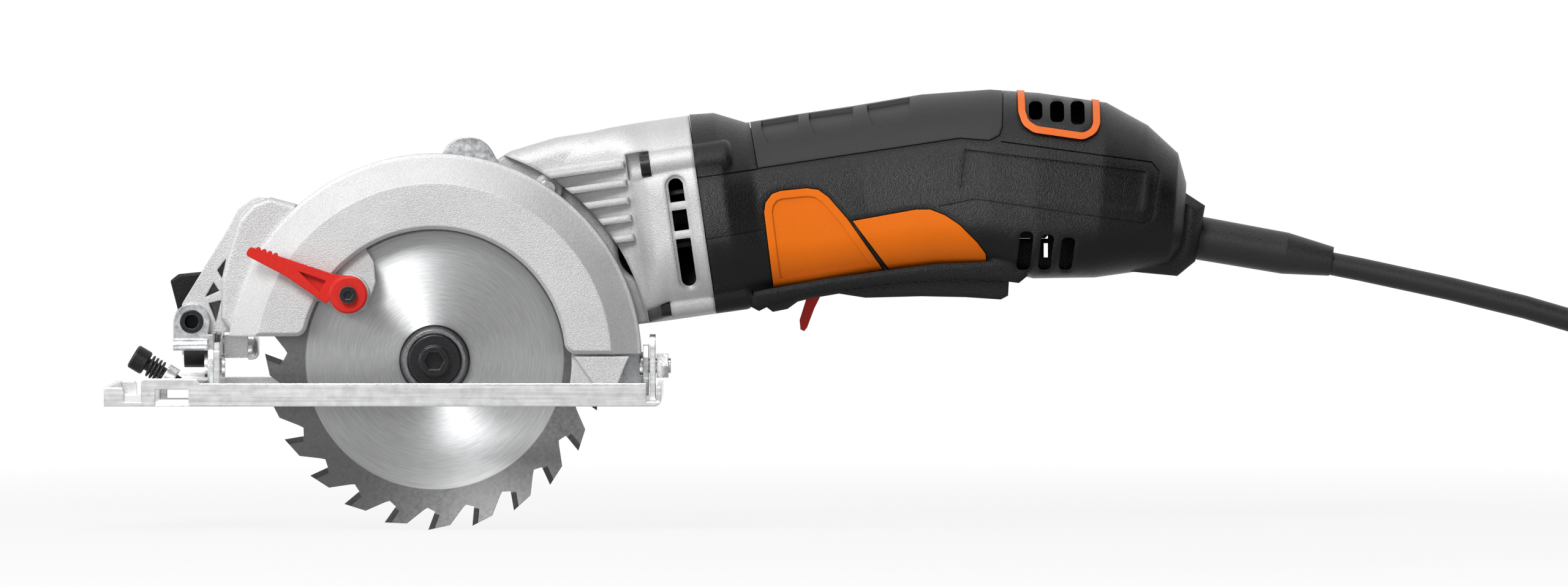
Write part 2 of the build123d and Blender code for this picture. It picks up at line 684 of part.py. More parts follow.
LEVER_POCKET = [(-36.4, 27.2), (-45.6, 30.4), (-38.2, 23.4)]
LEVER_RIDGE = 0.8
LEVER_RIDGES = (0.1, 0.17, 0.24, 0.31)  # places along the upper edge, from the tip to the hub

with BuildPart() as lower_guard:
    start = radians(LOWER_START)
    first_plane = Plane(
        origin=(0, 0, SPINDLE_Z), x_dir=(cos(start), 0, sin(start)), z_dir=(-sin(start), 0, cos(start))
    )
    with BuildSketch(first_plane):
        Polygon(
            (LOWER_WINDOW_RADIUS, LOWER_NEAR_Y),
            (LOWER_RIM_RADIUS - LOWER_WALL, LOWER_NEAR_Y),
            (LOWER_RIM_RADIUS, LOWER_NEAR_Y + LOWER_WALL),
            (LOWER_RIM_RADIUS, LOWER_FAR_Y),
            (HUB_RADIUS + RUN, LOWER_FAR_Y),
            (HUB_RADIUS + RUN, LOWER_FAR_Y - LOWER_WALL),
            (LOWER_RIM_RADIUS - LOWER_WALL, LOWER_FAR_Y - LOWER_WALL),
            (LOWER_RIM_RADIUS - LOWER_WALL, LOWER_NEAR_Y + LOWER_WALL),
            (LOWER_WINDOW_RADIUS, LOWER_NEAR_Y + LOWER_WALL),
            align=None,
        )
    revolve(axis=Axis((0, 0, SPINDLE_Z), (0, -1, 0)), revolution_arc=LOWER_SPAN)
    turn_y(
        ring_profile(LOWER_FAR_Y - LOWER_WALL, LOWER_FAR_Y, HUB_RADIUS + RUN, HUB_RADIUS + LOWER_HUB_WIDTH)
    )
    slab(TAB_OUTLINE, LOWER_NEAR_Y, LOWER_NEAR_Y + LOWER_WALL)
    rod_y(LEVER_HUB, LEVER_BOSS_RADIUS, LEVER_FACE_Y, LOWER_NEAR_Y)
    slab(LIP_OUTLINE, LIP_NEAR_Y, LOWER_NEAR_Y + LOWER_WALL)
    rod_y(LEVER_HUB, LEVER_SCREW_SHANK + SEAT, LEVER_FACE_Y, LOWER_NEAR_Y + LOWER_WALL, mode=Mode.SUBTRACT)
save(lower_guard, "lower_guard")

LEVER_NEAR_Y = LEVER_FACE_Y - LEVER_HUB_HEIGHT

with BuildPart() as guard_lever:
    with BuildSketch(side(LEVER_FACE_Y)) as lever_outline:
        Polygon(*LEVER_OUTLINE, align=None)
        fillet(lever_outline.vertices().sort_by(Axis.X)[:2], 1.2)
        for share in LEVER_RIDGES:
            tip, foot = LEVER_OUTLINE[0], LEVER_OUTLINE[-1]
            with Locations((tip[0] + share * (foot[0] - tip[0]), tip[1] + share * (foot[1] - tip[1]))):
                Circle(LEVER_RIDGE)
    extrude(amount=LEVER_THICKNESS)
    pocket_y = LEVER_FACE_Y - LEVER_THICKNESS
    slab(LEVER_POCKET, pocket_y, pocket_y + LEVER_THICKNESS / 2, mode=Mode.SUBTRACT)
    rod_y(LEVER_HUB, LEVER_HUB_RADIUS, LEVER_NEAR_Y, LEVER_FACE_Y)
    chamfer(guard_lever.faces().sort_by(Axis.Y)[0].edges(), 0.6)
    rod_y(LEVER_HUB, LEVER_SCREW_SHANK + SEAT, LEVER_NEAR_Y, LEVER_FACE_Y, mode=Mode.SUBTRACT)
save(guard_lever, "guard_lever")

with BuildPart() as guard_lever_screw:
    turn_y(
        step_profile(
            (LEVER_NEAR_Y - SCREW_HEAD_HEIGHT, LEVER_NEAR_Y, LEVER_SCREW_RADIUS),
            (LEVER_NEAR_Y, LOWER_NEAR_Y + LOWER_WALL / 2, LEVER_SCREW_SHANK),
        ),
        LEVER_HUB,
    )
    with BuildSketch(side(LEVER_NEAR_Y - SCREW_HEAD_HEIGHT / 3)):
        with Locations(LEVER_HUB):
            RegularPolygon(LEVER_SCREW_RADIUS / 2, 6, major_radius=False)
    extrude(amount=SCREW_HEAD_HEIGHT, mode=Mode.SUBTRACT)
save(guard_lever_screw, "guard_lever_screw")

RETAINER_Y = HUB_FRONT_Y + 0.5
RETAINER_THICKNESS = LOWER_FAR_Y - LOWER_WALL - 0.2 - RETAINER_Y
RETAINER_INNER = HUB_RADIUS - 0.9
RETAINER_OUTER = HUB_RADIUS + 2.4

with BuildPart() as guard_retainer:
    turn_y(ring_profile(RETAINER_Y, RETAINER_Y + RETAINER_THICKNESS, RETAINER_INNER, RETAINER_OUTER))
    slab([(-2, -20), (2, -20), (2, 0), (-2, 0)], RETAINER_Y, RETAINER_Y + RETAINER_THICKNESS, Mode.SUBTRACT)
save(guard_retainer, "guard_retainer")


# Wound springs and the cord's coil: tubes along pairs of tangent arcs, half a turn at a time

def half_turn(start, start_dir, end, end_dir):
    """Two tangent arcs from one point and direction to another."""
    chord = end - start
    both = start_dir + end_dir
    a = 4 - both.dot(both)
    b = chord.dot(both)
    reach = (-b + sqrt(b * b + a * chord.dot(chord))) / a
    first_corner = start + start_dir * reach
    second_corner = end - end_dir * reach
    middle = (first_corner + second_corner) * 0.5
    TangentArc(start, middle, tangent=start_dir)
    TangentArc(middle, end, tangent=second_corner - first_corner)


def wound_tube(stations, wire_radius):
    """One unbroken tube through (point, direction) stations half a turn apart."""
    with BuildPart() as tube:
        with BuildLine() as path:
            for (p, p_dir), (q, q_dir) in zip(stations, stations[1:]):
                half_turn(p, p_dir, q, q_dir)
        with BuildSketch(Plane(origin=stations[0][0], z_dir=stations[0][1])) as wire:
            Circle(wire_radius)
        sweep(wire.sketch, path=path.wires()[0])
    return tube.part, path.wires()[0]


def least_gap(wire, wire_radius, turn_length):
    """Least air between turns of a tube, on points along its path."""
    count = ceil(wire.length / (1.5 * wire_radius))
    points = [wire @ (i / count) for i in range(count + 1)]
    apart = max(2, round(turn_length / 2 / (wire.length / count)))
    near = [(points[i] - points[j]).length for i in range(count) for j in range(i + apart, count + 1)]
    return min(near) - 2 * wire_radius


GUARD_SPRING_WIRE = 0.45
GUARD_SPRING_TURNS = 3
GUARD_SPRING_INNER = HUB_RADIUS + 2.2
GUARD_SPRING_STEP = 2.2
GUARD_SPRING_Y = (LOWER_FAR_Y + ARM_NEAR_Y) / 2

spring_stations = []
for i in range(2 * GUARD_SPRING_TURNS + 1):
    sign = 1 if i % 2 == 0 else -1
    reach = GUARD_SPRING_INNER + GUARD_SPRING_STEP * i / 2
    spring_stations.append((Vector(sign * reach, GUARD_SPRING_Y, SPINDLE_Z), Vector(0, 0, sign)))
guard_spring_part, guard_spring_path = wound_tube(spring_stations, GUARD_SPRING_WIRE)
guard_spring_gap = least_gap(guard_spring_path, GUARD_SPRING_WIRE, 2 * pi * GUARD_SPRING_INNER)
print("guard spring gap", round(guard_spring_gap, 2))
with BuildPart() as guard_spring:
    add(guard_spring_part)
save(guard_spring, "guard_spring")

# Depth hinge: a folded bracket on the bevel line, a hollow pin, and the quadrant that guides the rear

EAR_NEAR_Y = KNUCKLE_NEAR_Y - 0.2 - SHEET
EAR_FAR_Y = ARM_FAR_Y + 0.2
BRACKET_TOP = GUARD_FRONT_Z + 0.4
BRACKET_BOTTOM = -8.0
EAR_BOTTOM = 3.2
LIP_HEIGHT = 0.7
BEVEL_CENTER = (BEVEL_Y, BEVEL_Z)
BEVEL_BOLT = (BEVEL_BOLT_Y, BEVEL_BOLT_Z)

with BuildPart() as hinge_bracket:
    with BuildSketch(cross(BRACKET_X)) as plate:
        with BuildLine():
            Polyline(
                (EAR_NEAR_Y, EAR_BOTTOM),
                (BEVEL_Y - 7.0, BEVEL_Z),
                (BEVEL_Y - 5.0, BRACKET_BOTTOM),
                (BEVEL_BOLT_Y, BRACKET_BOTTOM),
                (BEVEL_BOLT_Y + 8.0, BEVEL_BOLT_Z - 4.0),
                (BEVEL_BOLT_Y + 8.0, BEVEL_BOLT_Z + 4.0),
                (BEVEL_BOLT_Y + 4.0, BRACKET_TOP),
                (EAR_NEAR_Y, BRACKET_TOP),
                close=True,
            )
        make_face()
        with Locations(BEVEL_CENTER):
            Circle(PIVOT_RADIUS + SEAT, mode=Mode.SUBTRACT)
        with Locations(BEVEL_BOLT):
            Circle(BEVEL_BOLT_RADIUS + SEAT, mode=Mode.SUBTRACT)
    extrude(amount=SHEET)
    for near in (EAR_NEAR_Y, EAR_FAR_Y):
        with BuildSketch(side(near + SHEET)) as ear:
            with Locations((HINGE_X, HINGE_Z)):
                Circle(KNUCKLE_RADIUS)
            Polygon(
                (HINGE_X - KNUCKLE_RADIUS, HINGE_Z),
                (HINGE_X - KNUCKLE_RADIUS, EAR_BOTTOM),
                (BRACKET_X, EAR_BOTTOM),
                (BRACKET_X, BRACKET_TOP),
                (HINGE_X + KNUCKLE_RADIUS, HINGE_Z),
                align=None,
            )
            with Locations((HINGE_X, HINGE_Z)):
                Circle(PIN_RADIUS + SEAT, mode=Mode.SUBTRACT)
        extrude(amount=SHEET)
    with BuildSketch(cross(HINGE_X - KNUCKLE_RADIUS)) as roll:
        with Locations((EAR_NEAR_Y + 0.4, EAR_BOTTOM + 1.9)):
            Circle(1.9)
    extrude(amount=BRACKET_X - HINGE_X + KNUCKLE_RADIUS)
save(hinge_bracket, "hinge_bracket")

with BuildPart() as hinge_pin:
    turn_y(
        [
            (EAR_NEAR_Y - LIP_HEIGHT, PIN_BORE_RADIUS),
            (EAR_NEAR_Y - LIP_HEIGHT, PIN_RADIUS + LIP_HEIGHT),
            (EAR_NEAR_Y, PIN_RADIUS + LIP_HEIGHT),
            (EAR_NEAR_Y, PIN_RADIUS),
            (EAR_FAR_Y + SHEET, PIN_RADIUS),
            (EAR_FAR_Y + SHEET, PIN_RADIUS + LIP_HEIGHT),
            (EAR_FAR_Y + SHEET + LIP_HEIGHT, PIN_RADIUS + LIP_HEIGHT),
            (EAR_FAR_Y + SHEET + LIP_HEIGHT, 0),
            (EAR_FAR_Y, 0),
            (EAR_FAR_Y, PIN_BORE_RADIUS),
        ],
        (HINGE_X, HINGE_Z),
    )
    fillet(hinge_pin.faces().sort_by(Axis.Y)[0].edges().sort_by(SortBy.RADIUS)[-1], LIP_HEIGHT / 2)
save(hinge_pin, "hinge_pin")

QUADRANT_FAR_Y = QUADRANT_NEAR_Y + SHEET
FOOT_BOTTOM = -9.4
FOOT_TOP = 2.5
FOOT_TAB_X = 70.5  # front face of the rear tab
FOOT_TAB_TOP = 5.0
SLOT_EASE = 0.3

with BuildPart() as depth_quadrant:
    arc_slot(
        (HINGE_X, HINGE_Z),
        QUADRANT_RADIUS,
        QUADRANT_FOOT,
        QUADRANT_TOP,
        QUADRANT_WIDTH,
        side(QUADRANT_FAR_Y),
        SHEET,
        Mode.ADD,
    )
    foot_x = HINGE_X + QUADRANT_RADIUS - QUADRANT_WIDTH / 4
    slab(
        [
            (foot_x, FOOT_BOTTOM),
            (FOOT_TAB_X + SHEET, FOOT_BOTTOM),
            (FOOT_TAB_X + SHEET, FOOT_TOP),
            (foot_x + QUADRANT_WIDTH / 2, FOOT_TOP),
            (foot_x, FOOT_TOP + QUADRANT_WIDTH / 3),
        ],
        QUADRANT_NEAR_Y,
        QUADRANT_FAR_Y,
    )
    with BuildSketch(cross(FOOT_TAB_X)) as foot_tab:
        Polygon(
            (BEVEL_Y - 7.0, BEVEL_Z - 4.0),
            (BEVEL_Y - 4.0, FOOT_BOTTOM),
            (QUADRANT_FAR_Y, FOOT_BOTTOM),
            (QUADRANT_FAR_Y, FOOT_TAB_TOP),
            (BEVEL_Y - 4.0, FOOT_TAB_TOP),
            (BEVEL_Y - 7.0, BEVEL_Z + 3.0),
            align=None,
        )
        with Locations(BEVEL_CENTER):
            Circle(PIVOT_RADIUS + SEAT, mode=Mode.SUBTRACT)
    extrude(amount=SHEET)
    arc_slot(
        (HINGE_X, HINGE_Z),
        QUADRANT_RADIUS,
        DEPTH_BOLT_ANGLE - 0.4,
        DEPTH_BOLT_ANGLE + DEPTH_TRAVEL + 0.4,
        2 * (DEPTH_BOLT_RADIUS + SLOT_EASE),
        side(QUADRANT_FAR_Y),
        SHEET,
    )
save(depth_quadrant, "depth_quadrant")

DEPTH_LEVER_NEAR_Y = QUADRANT_FAR_Y + 0.3
DEPTH_LEVER_FAR_Y = DEPTH_LEVER_NEAR_Y + 10.0
DEPTH_LEVER_RADIUS = 4.8
DEPTH_LEVER_REACH = 38.0
DEPTH_COLLAR = QUADRANT_NEAR_Y - 0.2

with BuildPart() as depth_bolt:
    turn_y(
        step_profile(
            (ARM_NEAR_Y + 0.2, GUARD_FAR_Y, DEPTH_BOLT_RADIUS),
            (GUARD_FAR_Y, DEPTH_COLLAR, DEPTH_BOLT_RADIUS + 2.4),
            (DEPTH_COLLAR, DEPTH_LEVER_FAR_Y + 1.0, DEPTH_BOLT_RADIUS),
            (DEPTH_LEVER_FAR_Y + 1.0, DEPTH_LEVER_FAR_Y + 2.2, DEPTH_BOLT_RADIUS + 1.6),
        ),
        DEPTH_BOLT,
    )
save(depth_bolt, "depth_bolt")

with BuildPart() as depth_lever:
    rod_y(DEPTH_BOLT, DEPTH_LEVER_RADIUS, DEPTH_LEVER_NEAR_Y, DEPTH_LEVER_FAR_Y)
    with BuildSketch(side(DEPTH_LEVER_FAR_Y)) as lever_bar:
        with Locations(DEPTH_BOLT):
            Polygon(
                (0, DEPTH_LEVER_RADIUS - 1.4),
                (0, 1.4 - DEPTH_LEVER_RADIUS),
                (DEPTH_LEVER_REACH - 2, -7.6),
                (DEPTH_LEVER_REACH, -6.0),
                (DEPTH_LEVER_REACH, -2.6),
                (DEPTH_LEVER_REACH - 2, -1.0),
                align=None,
            )
        fillet(lever_bar.vertices().sort_by(Axis.X)[-4:], 1.4)
    extrude(amount=DEPTH_LEVER_FAR_Y - DEPTH_LEVER_NEAR_Y - 3.4)
    chamfer(depth_lever.faces().sort_by(Axis.Y)[-1].edges(), 0.8)
    rod_y(DEPTH_BOLT, DEPTH_BOLT_RADIUS + RUN, DEPTH_LEVER_NEAR_Y, DEPTH_LEVER_FAR_Y, mode=Mode.SUBTRACT)
save(depth_lever, "depth_lever")

# Bevel hinge: an upright quadrant on the base, a bolt in its slot, a lever nut and the two pivots

BEVEL_REACH = hypot(BEVEL_BOLT_Y - BEVEL_Y, BEVEL_BOLT_Z - BEVEL_Z)
BEVEL_START = degrees(atan2(BEVEL_BOLT_Z - BEVEL_Z, BEVEL_BOLT_Y - BEVEL_Y))
BEVEL_RIM = BEVEL_REACH + BEVEL_BOLT_RADIUS + SLOT_EASE + 4.0
BASE_TOP = BASE_SHEET - SPINDLE_Z  # top of the sole plate, above the spindle
QUADRANT_FOOT_X = -67.5

with BuildPart() as bevel_quadrant:
    with BuildSketch(cross(QUADRANT_X)) as upright:
        with BuildLine():
            arc = CenterArc(BEVEL_CENTER, BEVEL_RIM, 0, BEVEL_START + BEVEL_TRAVEL + 11)
            Polyline(
                arc @ 1,
                (ARM_FAR_Y + 1.0, (arc @ 1).Y - 2.0),
                (ARM_FAR_Y + 1.0, GUARD_FRONT_Z),
                (BEVEL_Y + 6.0, BEVEL_Z + 8.0),
                (BEVEL_Y - 6.0, BEVEL_Z + 8.0),
                (BEVEL_Y - 10.0, BEVEL_Z + 5.0),
                (BEVEL_Y - 10.0, BASE_TOP),
                (BEVEL_Y + BEVEL_RIM, BASE_TOP),
                arc @ 0,
            )
        make_face()
        with Locations(BEVEL_CENTER):
            Circle(PIVOT_RADIUS + RUN, mode=Mode.SUBTRACT)
    extrude(amount=SHEET)
    arc_slot(
        BEVEL_CENTER,
        BEVEL_REACH,
        BEVEL_START - 0.5,
        BEVEL_START + BEVEL_TRAVEL + 0.5,
        2 * (BEVEL_BOLT_RADIUS + SLOT_EASE),
        cross(QUADRANT_X),
        SHEET,
    )
    block(
        QUADRANT_X,
        QUADRANT_FOOT_X,
        BEVEL_Y - 10.0,
        BEVEL_Y + BEVEL_RIM,
        BASE_SHEET,
        BASE_SHEET + SHEET,
    )
save(bevel_quadrant, "bevel_quadrant")

BOLT_NECK_X = QUADRANT_X + SHEET + 0.2
BOLT_HEAD_X = -64.4
BOLT_HEAD_RADIUS = 4.6
BOLT_HEAD_HEIGHT = 3.8
LEVER_FRONT_X = -86.2
LEVER_REAR_X = BRACKET_X - 0.2
BEVEL_HUB_RADIUS = 7.2

with BuildPart() as bevel_bolt:
    rod_x(BEVEL_BOLT, BEVEL_BOLT_RADIUS, LEVER_FRONT_X - 0.8, BOLT_NECK_X)
    with BuildSketch(cross(BOLT_NECK_X)) as neck:
        with Locations(BEVEL_BOLT):
            Rectangle(1.7 * BOLT_HEAD_RADIUS, 1.7 * BOLT_HEAD_RADIUS)
    extrude(amount=BOLT_HEAD_X - BOLT_NECK_X)
    rod_x(BEVEL_BOLT, BOLT_HEAD_RADIUS, BOLT_HEAD_X, BOLT_HEAD_X + BOLT_HEAD_HEIGHT)
    fillet(bevel_bolt.faces().sort_by(Axis.X)[-1].edges(), 0.7 * BOLT_HEAD_HEIGHT)
save(bevel_bolt, "bevel_bolt")

PADDLE_NEAR_Y = BEVEL_BOLT_Y - 3.0
PADDLE_FAR_Y = BEVEL_BOLT_Y + 3.0
BEVEL_PADDLE = [
    (LEVER_REAR_X, BEVEL_BOLT_Z + 2.0),
    (LEVER_REAR_X, 28.6),
    (-80.0, 29.4),
    (-88.2, 28.6),
    (-91.0, 26.4),
    (-88.4, 16.4),
    (-86.2, 13.0),
    (-84.6, BEVEL_BOLT_Z + 2.0),
]

with BuildPart() as bevel_lever:
    with BuildSketch(side(PADDLE_FAR_Y)) as paddle_outline:
        Polygon(*BEVEL_PADDLE, align=None)
        fillet(paddle_outline.vertices(), 1.0)
    extrude(amount=PADDLE_FAR_Y - PADDLE_NEAR_Y)
    fillet(bevel_lever.edges().filter_by(Plane.XZ).group_by(Axis.Y)[0], 0.8)
    rod_x(BEVEL_BOLT, BEVEL_HUB_RADIUS, LEVER_FRONT_X, LEVER_REAR_X)
    rod_x(BEVEL_BOLT, BEVEL_BOLT_RADIUS + RUN, LEVER_FRONT_X - 1, LEVER_REAR_X + 1, mode=Mode.SUBTRACT)
save(bevel_lever, "bevel_lever")

REAR_TAB_X = FOOT_TAB_X + SHEET + 0.3
REAR_TAB_TOP = 8.6
NUT_X = REAR_TAB_X + SHEET + 0.3
NUT_THICKNESS = 4.0
NUT_FLATS = 8.0
PIVOT_HEAD = 1.2

with BuildPart() as bevel_pivots:
    rod_x(BEVEL_CENTER, PIVOT_RADIUS, BRACKET_X - PIVOT_HEAD, QUADRANT_X + SHEET + 0.3)
    rod_x(BEVEL_CENTER, PIVOT_RADIUS + 1.4, BRACKET_X - PIVOT_HEAD, BRACKET_X)
    rod_x(BEVEL_CENTER, PIVOT_RADIUS + 1.4, QUADRANT_X + SHEET + 0.3, QUADRANT_X + SHEET + 0.3 + PIVOT_HEAD)
    rod_x(BEVEL_CENTER, PIVOT_RADIUS, FOOT_TAB_X - PIVOT_HEAD, NUT_X + NUT_THICKNESS + 0.8)
    rod_x(BEVEL_CENTER, PIVOT_RADIUS + 0.9, FOOT_TAB_X - PIVOT_HEAD, FOOT_TAB_X)
save(bevel_pivots, "bevel_pivots")

with BuildPart() as rear_pivot_nut:
    with BuildSketch(cross(NUT_X)) as nut:
        with Locations(BEVEL_CENTER):
            RegularPolygon(NUT_FLATS / 2, 6, major_radius=False)
            Circle(PIVOT_RADIUS + SEAT, mode=Mode.SUBTRACT)
    extrude(amount=NUT_THICKNESS)
save(rear_pivot_nut, "rear_pivot_nut")

# Base plate: a folded sole with flanges, the blade slot, a raised fence channel and a rear tab

FLANGE_END_X = 72.0
FRONT_FLANGE = 6.4
REAR_FLANGE = 6.6
NOTCH_X = -103.6
FENCE_X = (CHANNEL_FRONT_X + CHANNEL_REAR_X) / 2 + 0.6
FENCE_LOW = 0.5
REAR_TAB_HALF = 8.0
BASE_BEND = 1.2

# Fence clamp screw, slanting down into the channel
CLAMP_START = (-98.8, 0.7)
CLAMP_SLOPE = 31.0
CLAMP_Y = -24.0
CLAMP_HEAD_RADIUS = 4.2
CLAMP_HEAD_HALF = 2.7
CLAMP_SHANK = 2.2
CLAMP_TIP = 15.2
CLAMP_BOSS = (9.6, 13.4)
CLAMP_BOSS_RADIUS = 4.0
CLAMP_DIR = (cos(radians(CLAMP_SLOPE)), 0, -sin(radians(CLAMP_SLOPE)))


def clamp_plane(t):
    """Plane square to the clamp screw, t from the middle of its head."""
    return Plane(
        origin=(
            CLAMP_START[0] + t * CLAMP_DIR[0],
            CLAMP_Y,
            SPINDLE_Z + CLAMP_START[1] + t * CLAMP_DIR[2],
        ),
        x_dir=(0, 1, 0),
        z_dir=CLAMP_DIR,
    )


def rod_clamp(radius, start, end, mode=Mode.ADD):
    """Round bar or hole along the clamp screw."""
    with BuildSketch(clamp_plane(start)) as outline:
        Circle(radius)
    extrude(outline.sketch, amount=end - start, mode=mode)


with BuildPart() as base_plate:
    inner_near = BASE_NEAR_Y + BASE_SHEET
    inner_far = BASE_FAR_Y - BASE_SHEET
    block(BASE_FRONT_X, BASE_REAR_X, BASE_NEAR_Y, BASE_FAR_Y, 0, BASE_SHEET)
    block(CHANNEL_FRONT_X, FLANGE_END_X, BASE_NEAR_Y, inner_near, 0, BASE_FLANGE)
    block(CHANNEL_FRONT_X, FLANGE_END_X, inner_far, BASE_FAR_Y, 0, BASE_FLANGE)
    block(BASE_FRONT_X, BASE_FRONT_X + BASE_SHEET, BASE_NEAR_Y, BASE_FAR_Y, 0, FRONT_FLANGE)
    block(BASE_FRONT_X, NOTCH_X, BASE_NEAR_Y, inner_near, 0, FRONT_FLANGE)
    block(BASE_FRONT_X, NOTCH_X, inner_far, BASE_FAR_Y, 0, FRONT_FLANGE)
    block(BASE_REAR_X - BASE_SHEET, BASE_REAR_X, inner_near, inner_far, 0, REAR_FLANGE)
    block(CHANNEL_FRONT_X, CHANNEL_REAR_X, BASE_NEAR_Y, inner_near, 0, CHANNEL_TOP)
    block(CHANNEL_FRONT_X, CHANNEL_REAR_X, inner_far, BASE_FAR_Y, 0, CHANNEL_TOP)
    block(CHANNEL_FRONT_X, CHANNEL_REAR_X, inner_near, inner_far, 0, CHANNEL_ROOF)
    rod_clamp(CLAMP_BOSS_RADIUS, *CLAMP_BOSS)
    block(
        CHANNEL_FRONT_X + CHANNEL_WALL,
        CHANNEL_REAR_X - CHANNEL_WALL,
        inner_near,
        inner_far,
        -1,
        CHANNEL_ROOF - BASE_SHEET,
        Mode.SUBTRACT,
    )
    block(
        FENCE_X - FENCE_WIDTH / 2,
        FENCE_X + FENCE_WIDTH / 2,
        BASE_NEAR_Y - 1,
        BASE_FAR_Y + 1,
        FENCE_LOW,
        FENCE_LOW + FENCE_HEIGHT,
        Mode.SUBTRACT,
    )
    block(SLOT_FRONT_X, SLOT_REAR_X, SLOT_NEAR_Y, SLOT_FAR_Y, -1, BASE_FLANGE, Mode.SUBTRACT)
    with BuildSketch(cross(REAR_TAB_X)) as rear_tab:
        Polygon(
            (BEVEL_Y - REAR_TAB_HALF, BASE_TOP),
            (BEVEL_Y + REAR_TAB_HALF, BASE_TOP),
            (BEVEL_Y + REAR_TAB_HALF, REAR_TAB_TOP),
            (BEVEL_Y - REAR_TAB_HALF, REAR_TAB_TOP),
            align=None,
        )
        fillet(rear_tab.vertices().group_by(Axis.Y)[-1], REAR_TAB_HALF / 2)
        with Locations(BEVEL_CENTER):
            Circle(PIVOT_RADIUS + RUN, mode=Mode.SUBTRACT)
    extrude(amount=SHEET)
    rod_clamp(CLAMP_SHANK + RUN, CLAMP_BOSS[0] - 2, CLAMP_TIP + 2, mode=Mode.SUBTRACT)
    rear_edges = base_plate.edges().filter_by(Axis.Y).group_by(Axis.X)[-1]
    fillet(rear_edges.sort_by(Axis.Z)[0], 2 * BASE_BEND)
    raised_ends = base_plate.edges().filter_by(Axis.Y).filter_by_position(
        Axis.Z, CHANNEL_TOP - 0.01, CHANNEL_TOP + 0.01
    )
    fillet(raised_ends, BASE_BEND)
    front_corners = base_plate.edges().filter_by(Axis.Y).filter_by_position(
        Axis.Z, FRONT_FLANGE - 0.01, FRONT_FLANGE + 0.01
    )
    fillet([e for e in front_corners if e.length < 2 * BASE_SHEET], BASE_BEND)
save(base_plate, "base_plate")

with BuildPart() as clamp_screw:
    rod_clamp(CLAMP_HEAD_RADIUS, -CLAMP_HEAD_HALF, CLAMP_HEAD_HALF)
    chamfer(clamp_screw.edges().filter_by(GeomType.CIRCLE), 0.5)
    rod_clamp(CLAMP_SHANK, CLAMP_HEAD_HALF, CLAMP_TIP)
    with BuildSketch(clamp_plane(-CLAMP_HEAD_HALF)) as clamp_socket:
        RegularPolygon(CLAMP_SHANK, 6, major_radius=False)
    extrude(clamp_socket.sketch, amount=CLAMP_HEAD_HALF, mode=Mode.SUBTRACT)
save(clamp_screw, "clamp_screw")

CLAMP_SPRING_WIRE = 0.4
CLAMP_SPRING_RADIUS = CLAMP_SHANK + 3 * CLAMP_SPRING_WIRE
CLAMP_SPRING_START = CLAMP_HEAD_HALF + 2 * CLAMP_SPRING_WIRE
CLAMP_SPRING_END = CLAMP_BOSS[0] - 2 * CLAMP_SPRING_WIRE
CLAMP_SPRING_TURNS = 4


def coil_stations(plane_at, radius, start, end, turns):
    """Half-turn stations of an even helix between two places on an axis."""
    stations = []
    for k in range(2 * turns + 1):
        plane = plane_at(start + (end - start) * k / (2 * turns))
        sign = 1 if k % 2 == 0 else -1
        rise = (end - start) / (2 * pi * radius * turns)
        lean = (plane.y_dir * sign + plane.z_dir * rise).normalized()
        stations.append((plane.origin + plane.x_dir * (sign * radius), lean))
    return stations


clamp_spring_part, clamp_spring_path = wound_tube(
    coil_stations(
        clamp_plane, CLAMP_SPRING_RADIUS, CLAMP_SPRING_START, CLAMP_SPRING_END, CLAMP_SPRING_TURNS
    ),
    CLAMP_SPRING_WIRE,
)
clamp_spring_gap = least_gap(clamp_spring_path, CLAMP_SPRING_WIRE, 2 * pi * CLAMP_SPRING_RADIUS)
print("clamp spring gap", round(clamp_spring_gap, 2))
with BuildPart() as clamp_spring:
    add(clamp_spring_part)
save(clamp_spring, "clamp_spring")

# Gear housing: a bell on the motor's joint face, a neck with ribs, and the case of the spur gears

BELL_WIDTH = 64.0
BELL_HEIGHT = 68.0
BELL_SECTIONS = [  # s, width, height, corner radius
    (-44.0, 42.0, 64.4, 8.0),
    (-28.0, 47.0, 67.2, 8.5),
    (-25.0, 49.0, 67.4, 10.0),
    (-22.5, 52.0, 67.6, 13.0),
    (-20.0, 56.5, 67.8, 18.0),
    (-17.5, 60.0, 67.9, 22.5),
    (-14.5, 61.8, 68.0, 25.5),
    (0.0, BELL_WIDTH, BELL_HEIGHT, 27.0),
]
BELL_HOLLOW = [  # s, across, width, height, corner radius
    (-40.0, 2.5, 24.0, 44.0, 10.0),
    (-16.5, 0.0, 48.0, 54.0, 20.0),
]
NECK_NEAR_Y = 9.0
CASE_COUNTER_RADIUS = 24.5
CASE_SPINDLE_RADIUS = 12.4
CAVITY_COUNTER_RADIUS = 19.8
CAVITY_IDLER_RADIUS = 12.3
CAVITY_SPINDLE_RADIUS = 10.4
CAVITY_NEAR_Y = GEAR_NEAR_Y - 0.6
NECK_OUTLINE = [
    (60.0, 78.2),
    (40.0, 75.0),
    (25.0, 70.5),
    (12.0, 62.0),
    (2.0, 58.5),
    (6.0, 20.0),
    (18.0, 15.6),
    (50.0, 14.4),
    (64.0, 12.6),
]
NECK_REAR_X = 59.0
NECK_CORNER = 8.0
NECK_ROUND = 6.0
GUARD_SCREWS = [(-13.0, 12.0), (38.0, 58.0), (45.0, 20.0)]
COVER_SCREWS = [(-13.0, 12.0), (-13.5, 43.0), (12.0, 59.0), (22.0, 18.5)]
SCREW_SHANK = 1.5
SCREW_HEAD = 2.8
SCREW_LENGTH = 10.0
EAR_RADIUS = 4.4
PAD_RADIUS = 5.0
MOTOR_BEARING_S = -58.0
MOTOR_BEARING_WIDTH = 7.0
MOTOR_FRONT_RADIUS = 4.0
SHAFT_PASSAGE = 12.0
FAN_CHAMBER_S = -14.5
FAN_CHAMBER = (58.0, 62.0, 24.0)
